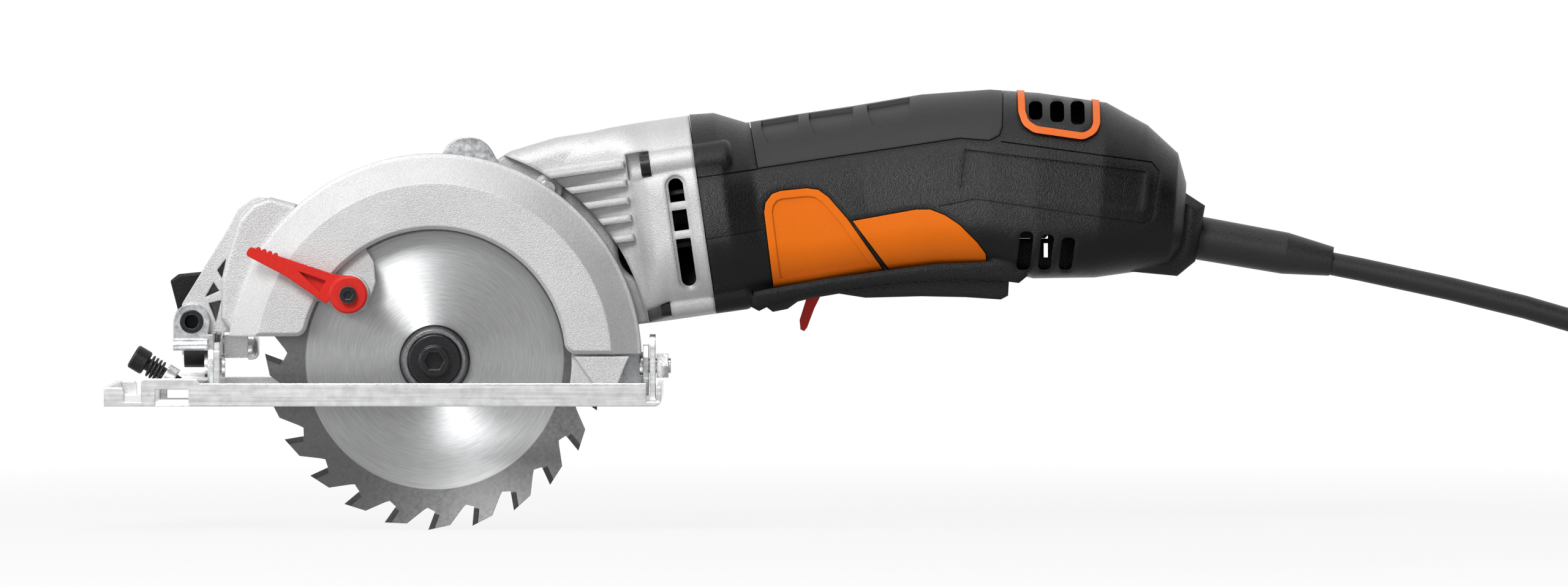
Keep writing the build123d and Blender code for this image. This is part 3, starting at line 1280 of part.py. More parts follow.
RIB_HEIGHTS = [20.7, 14.6, 8.7, 2.6, -4.0]
RIB_THICKNESS = 2.3
RIB_NEAR_Y = 2.6
RIB_END_S = -24.0
RIB_CLEARANCE_RADIUS = 73.0
VENT_S = -7.5
VENT_WIDTH = 5.0
VENT_MIDDLE = -4.6
VENT_LENGTH = 36.8
VENT_BARS = (-5.4, 4.4)  # heights of the two bars across the vent
VENT_BAR = 2.8
VENT_RIM = 1.1
VENT_SINK = 0.8
BELL_SCREWS = [(-27.0, 19.5), (27.0, 19.5), (-18.0, -28.8), (18.0, -28.8)]
BELL_BOSS_S = -15.0
BELL_BOSS_RADIUS = 4.3
BELL_POCKET_RADIUS = 4.9
BELL_POCKET_S = -23.0
BELL_SCREW_SHANK = 2.0
BELL_SCREW_HEAD = 3.7
BELL_HEAD_HEIGHT = 3.4
BELL_SCREW_END = 11.0


def hull_y(circles, near, far, mode=Mode.ADD):
    """Plate along Y over the tight outline round some circles, given as (center, radius)."""
    with BuildSketch(side(far)) as outline:
        for center, radius in circles:
            with Locations(center):
                Circle(radius)
        make_hull()
    extrude(outline.sketch, amount=far - near, mode=mode)


def loft_s(sections, mode=Mode.ADD):
    """Loft along the motor axis through (s, across, width, height, corner radius) sections."""
    with BuildPart(mode=Mode.PRIVATE) as body:
        for s, across, width, height, corner in sections:
            with BuildSketch(motor_plane(s, across)):
                RectangleRounded(width, height, corner)
        loft(ruled=True)
    add(body.part, mode=mode)


def brick_s(s0, s1, across0, across1, up0, up1, mode=Mode.ADD):
    """Box in the motor's own directions."""
    with BuildSketch(motor_plane(s0, (across0 + across1) / 2, (up0 + up1) / 2)) as outline:
        Rectangle(across1 - across0, up1 - up0)
    extrude(outline.sketch, amount=s1 - s0, mode=mode)


case_circles = [(COUNTER, CASE_COUNTER_RADIUS), ((0, 0), CASE_SPINDLE_RADIUS)]
cavity_circles = [
    (COUNTER, CAVITY_COUNTER_RADIUS),
    (IDLER, CAVITY_IDLER_RADIUS),
    ((0, 0), CAVITY_SPINDLE_RADIUS),
]

with BuildPart(mode=Mode.PRIVATE) as vent_frame:
    with BuildSketch(motor_side(MOTOR_Y + BELL_WIDTH)) as vent_rim:
        with Locations((VENT_S, VENT_MIDDLE)):
            SlotOverall(VENT_LENGTH + 2 * VENT_RIM, VENT_WIDTH + 2 * VENT_RIM, rotation=90)
    extrude(vent_rim.sketch, amount=2 * BELL_WIDTH)
    loft_s(
        [
            (s, 0.0, width - 2 * VENT_SINK, height - 2 * VENT_SINK, corner - VENT_SINK)
            for s, width, height, corner in BELL_SECTIONS[-2:]
        ],
        mode=Mode.SUBTRACT,
    )

with BuildPart(mode=Mode.PRIVATE) as neck:
    with BuildSketch(side(CASE_FAR_Y)) as neck_outline:
        Polygon(*NECK_OUTLINE, align=None)
        fillet([v for v in neck_outline.vertices() if v.X < NECK_REAR_X], NECK_CORNER)
    extrude(amount=CASE_FAR_Y - NECK_NEAR_Y)
    neck_edges = neck.faces().sort_by(Axis.Y)[0].edges()
    fillet([e for e in neck_edges if e.center().X < NECK_REAR_X], NECK_ROUND)

with BuildPart() as gear_housing:
    loft_s([(s, 0.0, width, height, corner) for s, width, height, corner in BELL_SECTIONS])
    hull_y(case_circles, CASE_NEAR_Y, CASE_FAR_Y)
    add(neck.part)
    for place in COVER_SCREWS:
        rod_y(place, EAR_RADIUS, CASE_NEAR_Y, CASE_FAR_Y)
    for up in RIB_HEIGHTS:
        brick_s(
            APEX_S,
            RIB_END_S,
            RIB_NEAR_Y - MOTOR_Y,
            CASE_NEAR_Y + 1 - MOTOR_Y,
            up - RIB_THICKNESS / 2,
            up + RIB_THICKNESS / 2,
        )
    rod_y((0, 0), RIB_CLEARANCE_RADIUS, RIB_NEAR_Y - 1, CASE_NEAR_Y, mode=Mode.SUBTRACT)
    for place in GUARD_SCREWS:
        rod_y(place, PAD_RADIUS, GUARD_FAR_Y, CASE_NEAR_Y + 1)
    rod_y((0, 0), HUB_RADIUS, HUB_FRONT_Y, CASE_NEAR_Y + 1)
    turn_y(
        ring_profile(RETAINER_Y, RETAINER_Y + RETAINER_THICKNESS, RETAINER_INNER - SEAT, HUB_RADIUS + 1),
        mode=Mode.SUBTRACT,
    )
    bearing_end_y = FRONT_BEARING_Y + BEARING_WIDTH
    rod_y((0, 0), BEARING_RADIUS + SEAT, HUB_FRONT_Y - 1, bearing_end_y, mode=Mode.SUBTRACT)
    rod_y((0, 0), SPINDLE_RADIUS + 1, FRONT_BEARING_Y, CASE_FAR_Y, mode=Mode.SUBTRACT)
    hull_y(cavity_circles, CAVITY_NEAR_Y, CASE_FAR_Y, mode=Mode.SUBTRACT)
    rod_y(COUNTER, COUNTER_BEARING_RADIUS + SEAT, COUNTER_BEARING_Y, CAVITY_NEAR_Y, mode=Mode.SUBTRACT)
    rod_y(IDLER, IDLER_PIN_RADIUS + SEAT, CASE_NEAR_Y + CASE_WALL, CAVITY_NEAR_Y, mode=Mode.SUBTRACT)
    rod_s(MOTOR_FRONT_RADIUS + 2, APEX_S, MOTOR_BEARING_S, mode=Mode.SUBTRACT)
    rod_s(
        BEARING_RADIUS + SEAT, MOTOR_BEARING_S, MOTOR_BEARING_S + MOTOR_BEARING_WIDTH, mode=Mode.SUBTRACT
    )
    rod_s(SHAFT_PASSAGE, MOTOR_BEARING_S + MOTOR_BEARING_WIDTH, FAN_CHAMBER_S, mode=Mode.SUBTRACT)
    loft_s(BELL_HOLLOW, mode=Mode.SUBTRACT)
    loft_s([(FAN_CHAMBER_S, 0.0, *FAN_CHAMBER), (0.1, 0.0, *FAN_CHAMBER)], mode=Mode.SUBTRACT)
    for across, up in BELL_SCREWS:
        rod_s(BELL_BOSS_RADIUS, BELL_BOSS_S, 0, across, up)
        rod_s(BELL_POCKET_RADIUS, BELL_POCKET_S, BELL_BOSS_S, across, up, mode=Mode.SUBTRACT)
        rod_s(BELL_SCREW_SHANK + SEAT, BELL_BOSS_S, 0, across, up, mode=Mode.SUBTRACT)
    add(vent_frame.part, mode=Mode.SUBTRACT)
    with BuildSketch(motor_side(MOTOR_Y + BELL_WIDTH)) as vent:
        with Locations((VENT_S, VENT_MIDDLE)):
            SlotOverall(VENT_LENGTH, VENT_WIDTH, rotation=90)
        for up in VENT_BARS:
            with Locations((VENT_S, up)):
                Rectangle(2 * VENT_WIDTH, VENT_BAR, mode=Mode.SUBTRACT)
    extrude(vent.sketch, amount=2 * BELL_WIDTH, mode=Mode.SUBTRACT)
    for place in GUARD_SCREWS:
        rod_y(place, SCREW_SHANK + SEAT, GUARD_FAR_Y - 1, ARM_NEAR_Y + SCREW_LENGTH + 1, mode=Mode.SUBTRACT)
    for place in COVER_SCREWS:
        rod_y(
            place,
            SCREW_SHANK + SEAT,
            CASE_FAR_Y + COVER_THICKNESS - SCREW_LENGTH - 1,
            CASE_FAR_Y,
            mode=Mode.SUBTRACT,
        )
save(gear_housing, "gear_housing")


def countersunk(place, face, facing, gap=0.0, mode=Mode.ADD):
    """Countersunk screw along Y with its head's top on a face, or its hole when a gap is given."""
    head = SCREW_HEAD - SCREW_SHANK
    profile = [(0, 0), (0, SCREW_HEAD + gap), (head, SCREW_SHANK + gap)]
    profile += [(SCREW_LENGTH, SCREW_SHANK + gap), (SCREW_LENGTH, 0)]
    turn_y([(face + facing * y, r) for y, r in profile], place, mode)


HEAD_SINK = 0.1

with BuildPart(mode=Mode.PRIVATE) as guard_holes:
    for place in GUARD_SCREWS:
        countersunk(place, ARM_NEAR_Y, 1, HEAD_SINK)

with upper_guard:
    add(guard_holes.part, mode=Mode.SUBTRACT)
save(upper_guard, "upper_guard")

LOCK_PLACE = (COUNTER[0] + polar(15.5, 120.0)[0], COUNTER[1] + polar(15.5, 120.0)[1])
LOCK_RADIUS = 2.0
LOCK_TRAVEL = 3.0
LOCK_COLLAR = 3.2
LOCK_GUIDE = 4.2
LOCK_CAP = 5.5
BEARING_BOSS = 2.3
BOSS_Y = TAIL_BEARING_Y - 0.5
COVER_FAR_Y = CASE_FAR_Y + COVER_THICKNESS

with BuildPart() as gear_cover:
    hull_y(case_circles, CASE_FAR_Y, COVER_FAR_Y)
    for place in COVER_SCREWS:
        rod_y(place, EAR_RADIUS, CASE_FAR_Y, COVER_FAR_Y)
    chamfer(gear_cover.faces().sort_by(Axis.Y)[-1].edges(), 1.0)
    rod_y(LOCK_PLACE, LOCK_GUIDE, CASE_FAR_Y, COVER_FAR_Y + 1.4)
    rod_y(COUNTER, COUNTER_BEARING_RADIUS + BEARING_BOSS, BOSS_Y, CASE_FAR_Y)
    rod_y((0, 0), TAIL_BEARING_RADIUS + 2, BOSS_Y, CASE_FAR_Y)
    for place, seat in ((COUNTER, COUNTER_BEARING_RADIUS), ((0, 0), TAIL_BEARING_RADIUS)):
        rod_y(place, seat + SEAT, BOSS_Y, TAIL_BEARING_Y + BEARING_WIDTH, mode=Mode.SUBTRACT)
        rod_y(place, seat - 2.4, BOSS_Y, SHAFT_END_Y + GAP, mode=Mode.SUBTRACT)
    rod_y(LOCK_PLACE, LOCK_RADIUS + RUN, BOSS_Y, COVER_FAR_Y + 2, mode=Mode.SUBTRACT)
    for place in COVER_SCREWS:
        countersunk(place, COVER_FAR_Y, -1, HEAD_SINK, mode=Mode.SUBTRACT)
save(gear_cover, "gear_cover")

LOCK_TIP_Y = MOTOR_Y + BEVEL_BACK + LOCK_TRAVEL + GAP
LOCK_CAP_Y = COVER_FAR_Y + 1.4 + LOCK_TRAVEL + GAP

with BuildPart() as spindle_lock_button:
    turn_y(
        step_profile(
            (LOCK_TIP_Y, CASE_FAR_Y - GAP - 1.0, LOCK_RADIUS),
            (CASE_FAR_Y - GAP - 1.0, CASE_FAR_Y - GAP, LOCK_COLLAR),
            (CASE_FAR_Y - GAP, LOCK_CAP_Y, LOCK_RADIUS),
            (LOCK_CAP_Y, LOCK_CAP_Y + 2.6, LOCK_CAP),
        ),
        LOCK_PLACE,
    )
    chamfer(spindle_lock_button.faces().sort_by(Axis.Y)[-1].edges(), 0.8)
save(spindle_lock_button, "spindle_lock_button")

with BuildPart() as countersunk_screws:
    for place in GUARD_SCREWS:
        countersunk(place, ARM_NEAR_Y + HEAD_SINK, 1)
    for place in COVER_SCREWS:
        countersunk(place, COVER_FAR_Y - HEAD_SINK, -1)
save(countersunk_screws, "countersunk_screws")

with BuildPart() as gear_housing_screws:
    for across, up in BELL_SCREWS:
        rod_s(BELL_SCREW_HEAD, BELL_BOSS_S - BELL_HEAD_HEIGHT, BELL_BOSS_S, across, up)
        rod_s(BELL_SCREW_SHANK, BELL_BOSS_S, BELL_SCREW_END, across, up)
        with BuildSketch(motor_plane(BELL_BOSS_S - BELL_HEAD_HEIGHT, across, up)) as drive:
            RegularPolygon(BELL_SCREW_SHANK, 6)
        extrude(drive.sketch, amount=BELL_HEAD_HEIGHT / 2, mode=Mode.SUBTRACT)
save(gear_housing_screws, "gear_housing_screws")

# Bearings and the idler's pin

PIN_HEAD = 1.4

with BuildPart() as spindle_bearings:
    turn_y(
        ring_profile(FRONT_BEARING_Y, FRONT_BEARING_Y + BEARING_WIDTH, SPINDLE_RADIUS + RUN, BEARING_RADIUS)
    )
    turn_y(
        ring_profile(
            TAIL_BEARING_Y, TAIL_BEARING_Y + BEARING_WIDTH, SPINDLE_TAIL_RADIUS + RUN, TAIL_BEARING_RADIUS
        )
    )
save(spindle_bearings, "spindle_bearings")

REAR_BEARING_S = 84.0
REAR_BEARING_RADIUS = 9.5
SHAFT_TAIL_RADIUS = 3.5

with BuildPart() as drive_bearings:
    for near in (COUNTER_BEARING_Y, TAIL_BEARING_Y):
        turn_y(
            ring_profile(near, near + BEARING_WIDTH, COUNTER_RADIUS + RUN, COUNTER_BEARING_RADIUS), COUNTER
        )
    turn_s(
        ring_profile(
            MOTOR_BEARING_S,
            MOTOR_BEARING_S + MOTOR_BEARING_WIDTH,
            MOTOR_FRONT_RADIUS + RUN,
            BEARING_RADIUS,
        )
    )
    turn_s(
        ring_profile(
            REAR_BEARING_S, REAR_BEARING_S + BEARING_WIDTH, SHAFT_TAIL_RADIUS + RUN, REAR_BEARING_RADIUS
        )
    )
save(drive_bearings, "drive_bearings")

with BuildPart() as idler_pin:
    turn_y(
        step_profile(
            (CASE_NEAR_Y + CASE_WALL, GEAR_FAR_Y + 0.2, IDLER_PIN_RADIUS),
            (GEAR_FAR_Y + 0.2, GEAR_FAR_Y + 0.2 + PIN_HEAD, IDLER_PIN_RADIUS + PIN_HEAD),
        ),
        IDLER,
    )
save(idler_pin, "idler_pin")

# Motor: the armature with its bevel pinion, the fan, the field and the brushes

SHAFT_RADIUS = 5.0
CORE_S = (22.0, 62.0)
CORE_RADIUS = 16.7
CORE_SLOTS = 12
COMMUTATOR_S = (66.0, 78.0)
COMMUTATOR_RADIUS = 11.0
FAN_S = (-13.0, -3.0)
FAN_RADIUS = 27.0
FAN_HUB = 8.0
FAN_PLATE = 1.6
FAN_BLADES = 9
FIELD_S = (22.0, 64.0)
FIELD_RADIUS = 24.0
FIELD_RING = 22.0
POLE_RADIUS = 17.4
POLE_HALF = 42.0
COIL_RADII = (17.8, 21.6)
COIL_HALF = 40.0
COIL_END = 3.4
BRUSH_S = 72.0
BRUSH_SIZE = 5.8
HOLDER_WALL = 1.4
HOLDER_RADII = (13.0, 24.4)

pinion_plane = Plane(
    origin=(COUNTER_X, MOTOR_Y, SPINDLE_Z + COUNTER_Z), x_dir=(0, 1, 0), z_dir=MOTOR_DIR
)
pinion_tooth = bevel_tooth(PINION_TEETH, PINION_CONE)
pinion_small = root_point(PINION_CONE, CONE_SHARE)
pinion_large = root_point(PINION_CONE, 1.0)

with BuildPart(pinion_plane) as armature_shaft:
    turn_s(
        [
            (APEX_S + pinion_small[1], 0),
            (APEX_S + pinion_small[1], pinion_small[0]),
            (APEX_S + pinion_large[1], pinion_large[0]),
            (APEX_S + pinion_large[1] + 0.6, MOTOR_FRONT_RADIUS),
            (MOTOR_BEARING_S + MOTOR_BEARING_WIDTH, MOTOR_FRONT_RADIUS),
            (MOTOR_BEARING_S + MOTOR_BEARING_WIDTH, SHAFT_RADIUS),
            (REAR_BEARING_S - 1, SHAFT_RADIUS),
            (REAR_BEARING_S - 1, SHAFT_TAIL_RADIUS),
            (REAR_BEARING_S + BEARING_WIDTH + 1, SHAFT_TAIL_RADIUS),
            (REAR_BEARING_S + BEARING_WIDTH + 1, 0),
        ]
    )
    with PolarLocations(0, PINION_TEETH):
        add(pinion_tooth)
save(armature_shaft, "armature_shaft")

with BuildPart() as armature_core:
    with BuildSketch(motor_plane(CORE_S[0])) as lamination:
        Circle(CORE_RADIUS)
        with PolarLocations(CORE_RADIUS, CORE_SLOTS):
            Rectangle(CORE_RADIUS / 2, CORE_RADIUS / 8, mode=Mode.SUBTRACT)
        Circle(SHAFT_RADIUS + SEAT, mode=Mode.SUBTRACT)
    extrude(amount=CORE_S[1] - CORE_S[0])
    turn_s(ring_profile(CORE_S[0] - 4, CORE_S[0], SHAFT_RADIUS + SEAT, CORE_RADIUS - 2))
    turn_s(ring_profile(CORE_S[1], COMMUTATOR_S[0], SHAFT_RADIUS + SEAT, CORE_RADIUS - 3))
save(armature_core, "armature_core")

with BuildPart() as commutator:
    turn_s(ring_profile(*COMMUTATOR_S, SHAFT_RADIUS + SEAT, COMMUTATOR_RADIUS))
save(commutator, "commutator")

with BuildPart() as cooling_fan:
    turn_s(ring_profile(*FAN_S, SHAFT_RADIUS + SEAT, FAN_HUB))
    turn_s(ring_profile(FAN_S[1] - FAN_PLATE, FAN_S[1], SHAFT_RADIUS + SEAT, FAN_RADIUS))
    with BuildSketch(motor_plane(FAN_S[0])) as blades:
        with PolarLocations((FAN_HUB + FAN_RADIUS) / 2 - 0.5, FAN_BLADES):
            Rectangle(FAN_RADIUS - FAN_HUB, FAN_PLATE)
    extrude(amount=FAN_S[1] - FAN_S[0] - FAN_PLATE / 2)
save(cooling_fan, "cooling_fan")


def arc_bar(start, end, inner, outer, middle, half):
    """Curved bar along the motor axis that covers half an angle each way from a middle angle."""
    steps = [middle - half + half * i / 2 for i in range(5)]
    with BuildSketch(motor_plane(start)) as outline:
        Circle(outer)
        Circle(inner, mode=Mode.SUBTRACT)
        Polygon((0, 0), *[polar(2 * outer, angle) for angle in steps], align=None, mode=Mode.INTERSECT)
    extrude(outline.sketch, amount=end - start)


with BuildPart() as stator_core:
    turn_s(ring_profile(*FIELD_S, FIELD_RING, FIELD_RADIUS))
    for middle in (90, 270):
        arc_bar(*FIELD_S, POLE_RADIUS, FIELD_RING + SEAT, middle, POLE_HALF)
save(stator_core, "stator_core")

with BuildPart() as field_coils:
    for middle in (0, 180):
        arc_bar(FIELD_S[0] - COIL_END, FIELD_S[1] + COIL_END, *COIL_RADII, middle, COIL_HALF)
save(field_coils, "field_coils")

with BuildPart() as brush_holders:
    for turn in (-1, 1):
        low, high = sorted((turn * HOLDER_RADII[0], turn * HOLDER_RADII[1]))
        outer = BRUSH_SIZE / 2 + HOLDER_WALL
        inner = BRUSH_SIZE / 2 + SEAT
        brick_s(BRUSH_S - outer, BRUSH_S + outer, low, high, -outer, outer)
        brick_s(BRUSH_S - inner, BRUSH_S + inner, low - 1, high + 1, -inner, inner, mode=Mode.SUBTRACT)
save(brush_holders, "brush_holders")

with BuildPart() as carbon_brushes:
    for turn in (-1, 1):
        low, high = sorted((turn * (COMMUTATOR_RADIUS + RUN), turn * (HOLDER_RADII[1] - 4)))
        half = BRUSH_SIZE / 2
        brick_s(BRUSH_S - half, BRUSH_S + half, low, high, -half, half)
save(carbon_brushes, "carbon_brushes")

# Motor housing: a shell in two halves, lofted through upright sections from the joint face to the cord

HOUSING_SECTIONS = [  # x, height of the middle, tilt, height, width, top corner, bottom corner
    (90.9, 49.2, MOTOR_TILT, 68.3, 64.0, 27.0, 27.0),
    (99.0, 50.3, MOTOR_TILT, 67.2, 64.0, 27.0, 26.0),
    (109.5, 51.4, MOTOR_TILT, 58.3, 58.0, 26.0, 17.0),
    (126.2, 53.8, MOTOR_TILT, 59.0, 56.0, 25.0, 16.0),
    (146.0, 57.0, MOTOR_TILT, 58.5, 55.0, 25.0, 16.0),
    (168.0, 60.2, 5.5, 59.6, 56.0, 25.0, 16.0),
    (188.5, 61.3, 0.0, 60.5, 57.0, 25.0, 16.0),
    (204.0, 58.9, -2.0, 63.0, 57.0, 25.0, 16.0),
    (226.0, 57.4, -4.0, 59.6, 55.0, 24.0, 18.0),
    (240.0, 54.5, -5.0, 50.0, 50.0, 22.0, 18.0),
    (250.7, 50.2, -5.0, 39.6, 44.0, 18.0, 16.0),
    (254.0, 46.5, -5.0, 27.0, 34.0, 12.0, 12.0),
]
HOUSING_WALL = 3.0
COVER_DEPTH = 1.9  # thickness of the soft covers let into the housing
COVER_GAP = 0.3  # open line round the soft covers
REAR_WALL = 6.0
GRIP_OUTLINE = [
    (106.3, 95.0),
    (106.3, 81.3),
    (109.2, 64.7),
    (178.0, 75.0),
    (188.0, 74.2),
    (191.5, 76.0),
    (192.5, 79.0),
    (193.0, 95.0),
]
SCALLOPS = [  # finger hollows in the grip cover
    [(110.0, 96.0), (110.6, 78.0), (112.9, 73.2), (120.4, 74.2), (123.0, 77.0), (123.6, 96.0)],
    [(126.4, 96.0), (126.8, 81.0), (128.8, 76.4), (139.2, 77.6), (141.6, 80.4), (142.2, 96.0)],
    [(146.2, 96.0), (146.6, 84.0), (148.4, 79.7), (158.4, 80.7), (160.8, 83.4), (161.5, 96.0)],
]
SCALLOP_DEPTH = 1.4
SPINE_HALF = 7.0
FRONT_PAD = [
    (114.5, 24.2),
    (111.3, 50.0),
    (111.8, 53.5),
    (114.0, 56.5),
    (117.0, 57.6),
    (126.0, 58.5),
    (130.0, 58.0),
    (133.5, 55.5),
    (140.0, 48.0),
    (152.5, 30.2),
]
REAR_PAD = [
    (141.0, 47.3),
    (163.0, 51.3),
    (168.0, 51.3),
    (173.0, 49.3),
    (178.0, 46.0),
    (184.0, 40.0),
    (187.0, 36.0),
    (187.3, 33.0),
    (153.8, 30.4),
]
PAD_INNER_HALF = 12.0
PAD_BORDER = 3.0
PAD_SINK = 0.4
LABEL_PANEL = [(179.5, 71.5), (241.0, 64.0), (239.5, 50.8), (178.0, 58.5)]
PANEL_LINES = [
    [(86.0, 61.3), (109.0, 64.6)],
    [(86.0, 39.9), (111.0, 44.1)],
    [(192.0, 74.0), (243.0, 67.0), (245.5, 64.0), (243.0, 48.0)],
    [(243.0, 48.0), (240.0, 46.3), (183.0, 54.5), (171.0, 52.0)],
]
LINE_WIDTH = 0.5
LINE_DEPTH = 0.35
TRIM_OUTER = [
    (197.6, 96.0),
    (197.8, 84.0),
    (199.2, 79.6),
    (203.0, 77.0),
    (220.0, 74.6),
    (224.2, 76.8),
    (225.6, 80.0),
    (225.6, 96.0),
]
TRIM_INNER = [
    (200.0, 97.0),
    (200.2, 84.4),
    (201.2, 81.2),
    (204.0, 79.3),
    (219.8, 77.0),
    (222.6, 78.4),
    (223.2, 80.6),
    (223.2, 97.0),
]
TRIM_CORNERS = (5.0, 3.4)  # outside, inside
LOUVRES = [(201.4, 206.0, 81.4), (208.6, 213.4, 80.6), (215.6, 220.4, 79.8)]
LOUVRE_TOP = 87.6
SIDE_VENTS = [(198.4, 203.0, 43.5), (205.6, 210.0, 42.5), (212.6, 217.2, 41.5)]
SIDE_VENT_BOTTOM = 30.5
SIDE_VENT_LEAN = 1.4
VENT_CORNER = 1.6
BAFFLES = [  # walls in the middle, behind the vents
    [(196.6, 78.0), (196.6, 95.0), (226.0, 95.0), (226.0, 76.0)],
    [(196.0, 26.0), (196.0, 40.8), (206.8, 40.8), (206.8, 26.0)],
    [(206.8, 26.0), (206.8, 34.4), (208.2, 34.4), (208.2, 26.0)],
    [(206.8, 39.2), (206.8, 40.8), (208.2, 40.8), (208.2, 39.2)],
    [(208.2, 26.0), (208.2, 46.0), (221.0, 46.0), (221.0, 26.0)],
]
BAFFLE_HALF = 1.2
SKIRT_HALF = 22.5
SKIRT_OUTLINE = [
    (107.0, 18.0),
    (109.8, 16.5),
    (116.0, 19.5),
    (130.0, 22.5),
    (147.0, 25.0),
    (160.0, 26.5),
    (175.0, 27.2),
    (190.0, 27.0),
    (198.0, 26.0),
    (201.0, 28.5),
    (200.0, 33.0),
    (188.0, 33.4),
    (170.0, 32.6),
    (153.0, 30.4),
    (133.0, 27.6),
    (115.0, 24.4),
    (108.0, 23.0),
]
PADDLE_SLOT_HALF = 12.7
PADDLE_SLOT = [
    (112.0, 10.0),
    (196.0, 10.0),
    (196.0, 40.0),
    (143.0, 40.0),
    (143.0, 30.0),
    (112.0, 30.0),
]
PADDLE_PIVOT = (116.5, 22.2)
TRUNNION_RADIUS = 1.6
TRUNNION_REACH = 17.0
HOUSING_SCREWS = [(104.0, 74.0), (183.0, 82.0), (240.0, 66.0), (217.0, 53.0), (231.6, 35.4)]
COLUMN_RADIUS = 4.0
HOUSING_SCREW_SHANK = 1.6
HOUSING_SCREW_HEAD = 3.0
HOUSING_SCREW_Y = 41.0  # underside of the heads, on the far side
HOUSING_SCREW_TIP = 16.0
HOUSING_HEAD_HEIGHT = 2.4
COLLAR_BOSS_RADIUS = 5.0
COLLAR_BOSS_END = 13.0
FIELD_WEBS = [(24.0, 27.0), (58.0, 61.0)]
BULKHEAD_S = (83.0, 91.0)
AIR_HOLE = 4.5
AIR_HOLE_REACH = 17.0
FAR_OUT = 60.0

# Cord entry, sloping down behind the housing
CORD_X = 259.5
CORD_Z = 41.0
CORD_SLOPE = 10.0
CORD_RADIUS = 4.0
CORD_BOSS_LENGTH = 14.0
CORD_BOSS_HALF = 14.0
CORD_BOSS_CORNER = 3.0
CORD_BOSS_UP = (-7.9, 11.3)  # lower and upper end of its rear face
SLEEVE_NECK = 6.0
SLEEVE_PROFILE = [(0.1, 7.4), (30.0, 7.1), (46.0, 5.0)]  # distance behind the boss, radius
CORD_DIR = (cos(radians(CORD_SLOPE)), 0, -sin(radians(CORD_SLOPE)))
CORD_BOSS = [
    (238.0, 58.0),
    (254.0, 57.0),
    (CORD_X - CORD_BOSS_UP[1] * CORD_DIR[2], CORD_Z + CORD_BOSS_UP[1] * CORD_DIR[0]),
    (CORD_X - CORD_BOSS_UP[0] * CORD_DIR[2], CORD_Z + CORD_BOSS_UP[0] * CORD_DIR[0]),
    (252.0, 28.2),
    (234.0, 29.9),
]


def section_plane(x, z, tilt):
    """Upright plane across the housing, leaning back by the tilt."""
    return Plane(
        origin=(x, MOTOR_Y, SPINDLE_Z + z),
        x_dir=(0, 1, 0),
        z_dir=(cos(radians(tilt)), 0, sin(radians(tilt))),
    )


def housing_body(inset, front=0.0, rear=0.0):
    """Solid through the housing's sections, set in all round, moved at its front and rear ends."""
    with BuildPart(mode=Mode.PRIVATE) as body:
        for i, (x, z, tilt, height, width, top, bottom) in enumerate(HOUSING_SECTIONS):
            moved = front if i == 0 else rear if i == len(HOUSING_SECTIONS) - 1 else 0.0
            with BuildSketch(section_plane(x + moved, z, tilt)) as section:
                Rectangle(width - 2 * inset, height - 2 * inset)
                rows = section.vertices().group_by(Axis.Y)
                fillet(rows[0], max(bottom - inset, 2))
                fillet(section.vertices().group_by(Axis.Y)[-1], max(top - inset, 2))
        loft(ruled=True)
    return body.part


def cord_plane(t):
    """Plane square to the cord's entry, t behind the end of the housing's boss."""
    return Plane(
        origin=(CORD_X + t * CORD_DIR[0], MOTOR_Y, SPINDLE_Z + CORD_Z + t * CORD_DIR[2]),
        x_dir=(0, 1, 0),
        z_dir=CORD_DIR,
    )


def rod_cord(radius, start, end, mode=Mode.ADD):
    """Round bar or hole along the cord's entry."""
    with BuildSketch(cord_plane(start)) as outline:
        Circle(radius)
    extrude(outline.sketch, amount=end - start, mode=mode)


housing_outer = housing_body(0.0)
housing_cover_floor = housing_body(COVER_DEPTH)
housing_cover_seat = housing_body(COVER_DEPTH + SEAT)
housing_inner = housing_body(HOUSING_WALL, front=-0.5, rear=-REAR_WALL)
HOUSING_NEAR_Y = MOTOR_Y - FAR_OUT
HOUSING_FAR_Y = MOTOR_Y + FAR_OUT


ALL_AROUND = [(0, -100), (400, -100), (400, 200), (0, 200)]


def skin_layer(outlines, inner, middle_half=0.0, inset=0.0):
    """Layer between the housing's skin and an inner body under outlines seen from the side, set in."""
    with BuildPart(mode=Mode.PRIVATE) as layer:
        for outline in outlines:
            with BuildSketch(side(HOUSING_FAR_Y)) as shape:
                Polygon(*outline, align=None)
                if inset:
                    offset(amount=-inset, mode=Mode.REPLACE)
            extrude(shape.sketch, amount=HOUSING_FAR_Y - HOUSING_NEAR_Y)
        add(housing_outer, mode=Mode.INTERSECT)
        add(inner, mode=Mode.SUBTRACT)
        if middle_half:
            slab(ALL_AROUND, MOTOR_Y - middle_half, MOTOR_Y + middle_half, mode=Mode.SUBTRACT)
    return layer.part


def line_strips(route, width):
    """Narrow outlines along the runs of a line."""
    strips = []
    for (x0, z0), (x1, z1) in zip(route, route[1:]):
        length = hypot(x1 - x0, z1 - z0)
        along = ((x1 - x0) / length * width / 2, (z1 - z0) / length * width / 2)
        strips.append(
            [
                (x0 - along[0] - along[1], z0 - along[1] + along[0]),
                (x0 - along[0] + along[1], z0 - along[1] - along[0]),
                (x1 + along[0] + along[1], z1 + along[1] - along[0]),
                (x1 + along[0] - along[1], z1 + along[1] + along[0]),
            ]
        )
    return strips


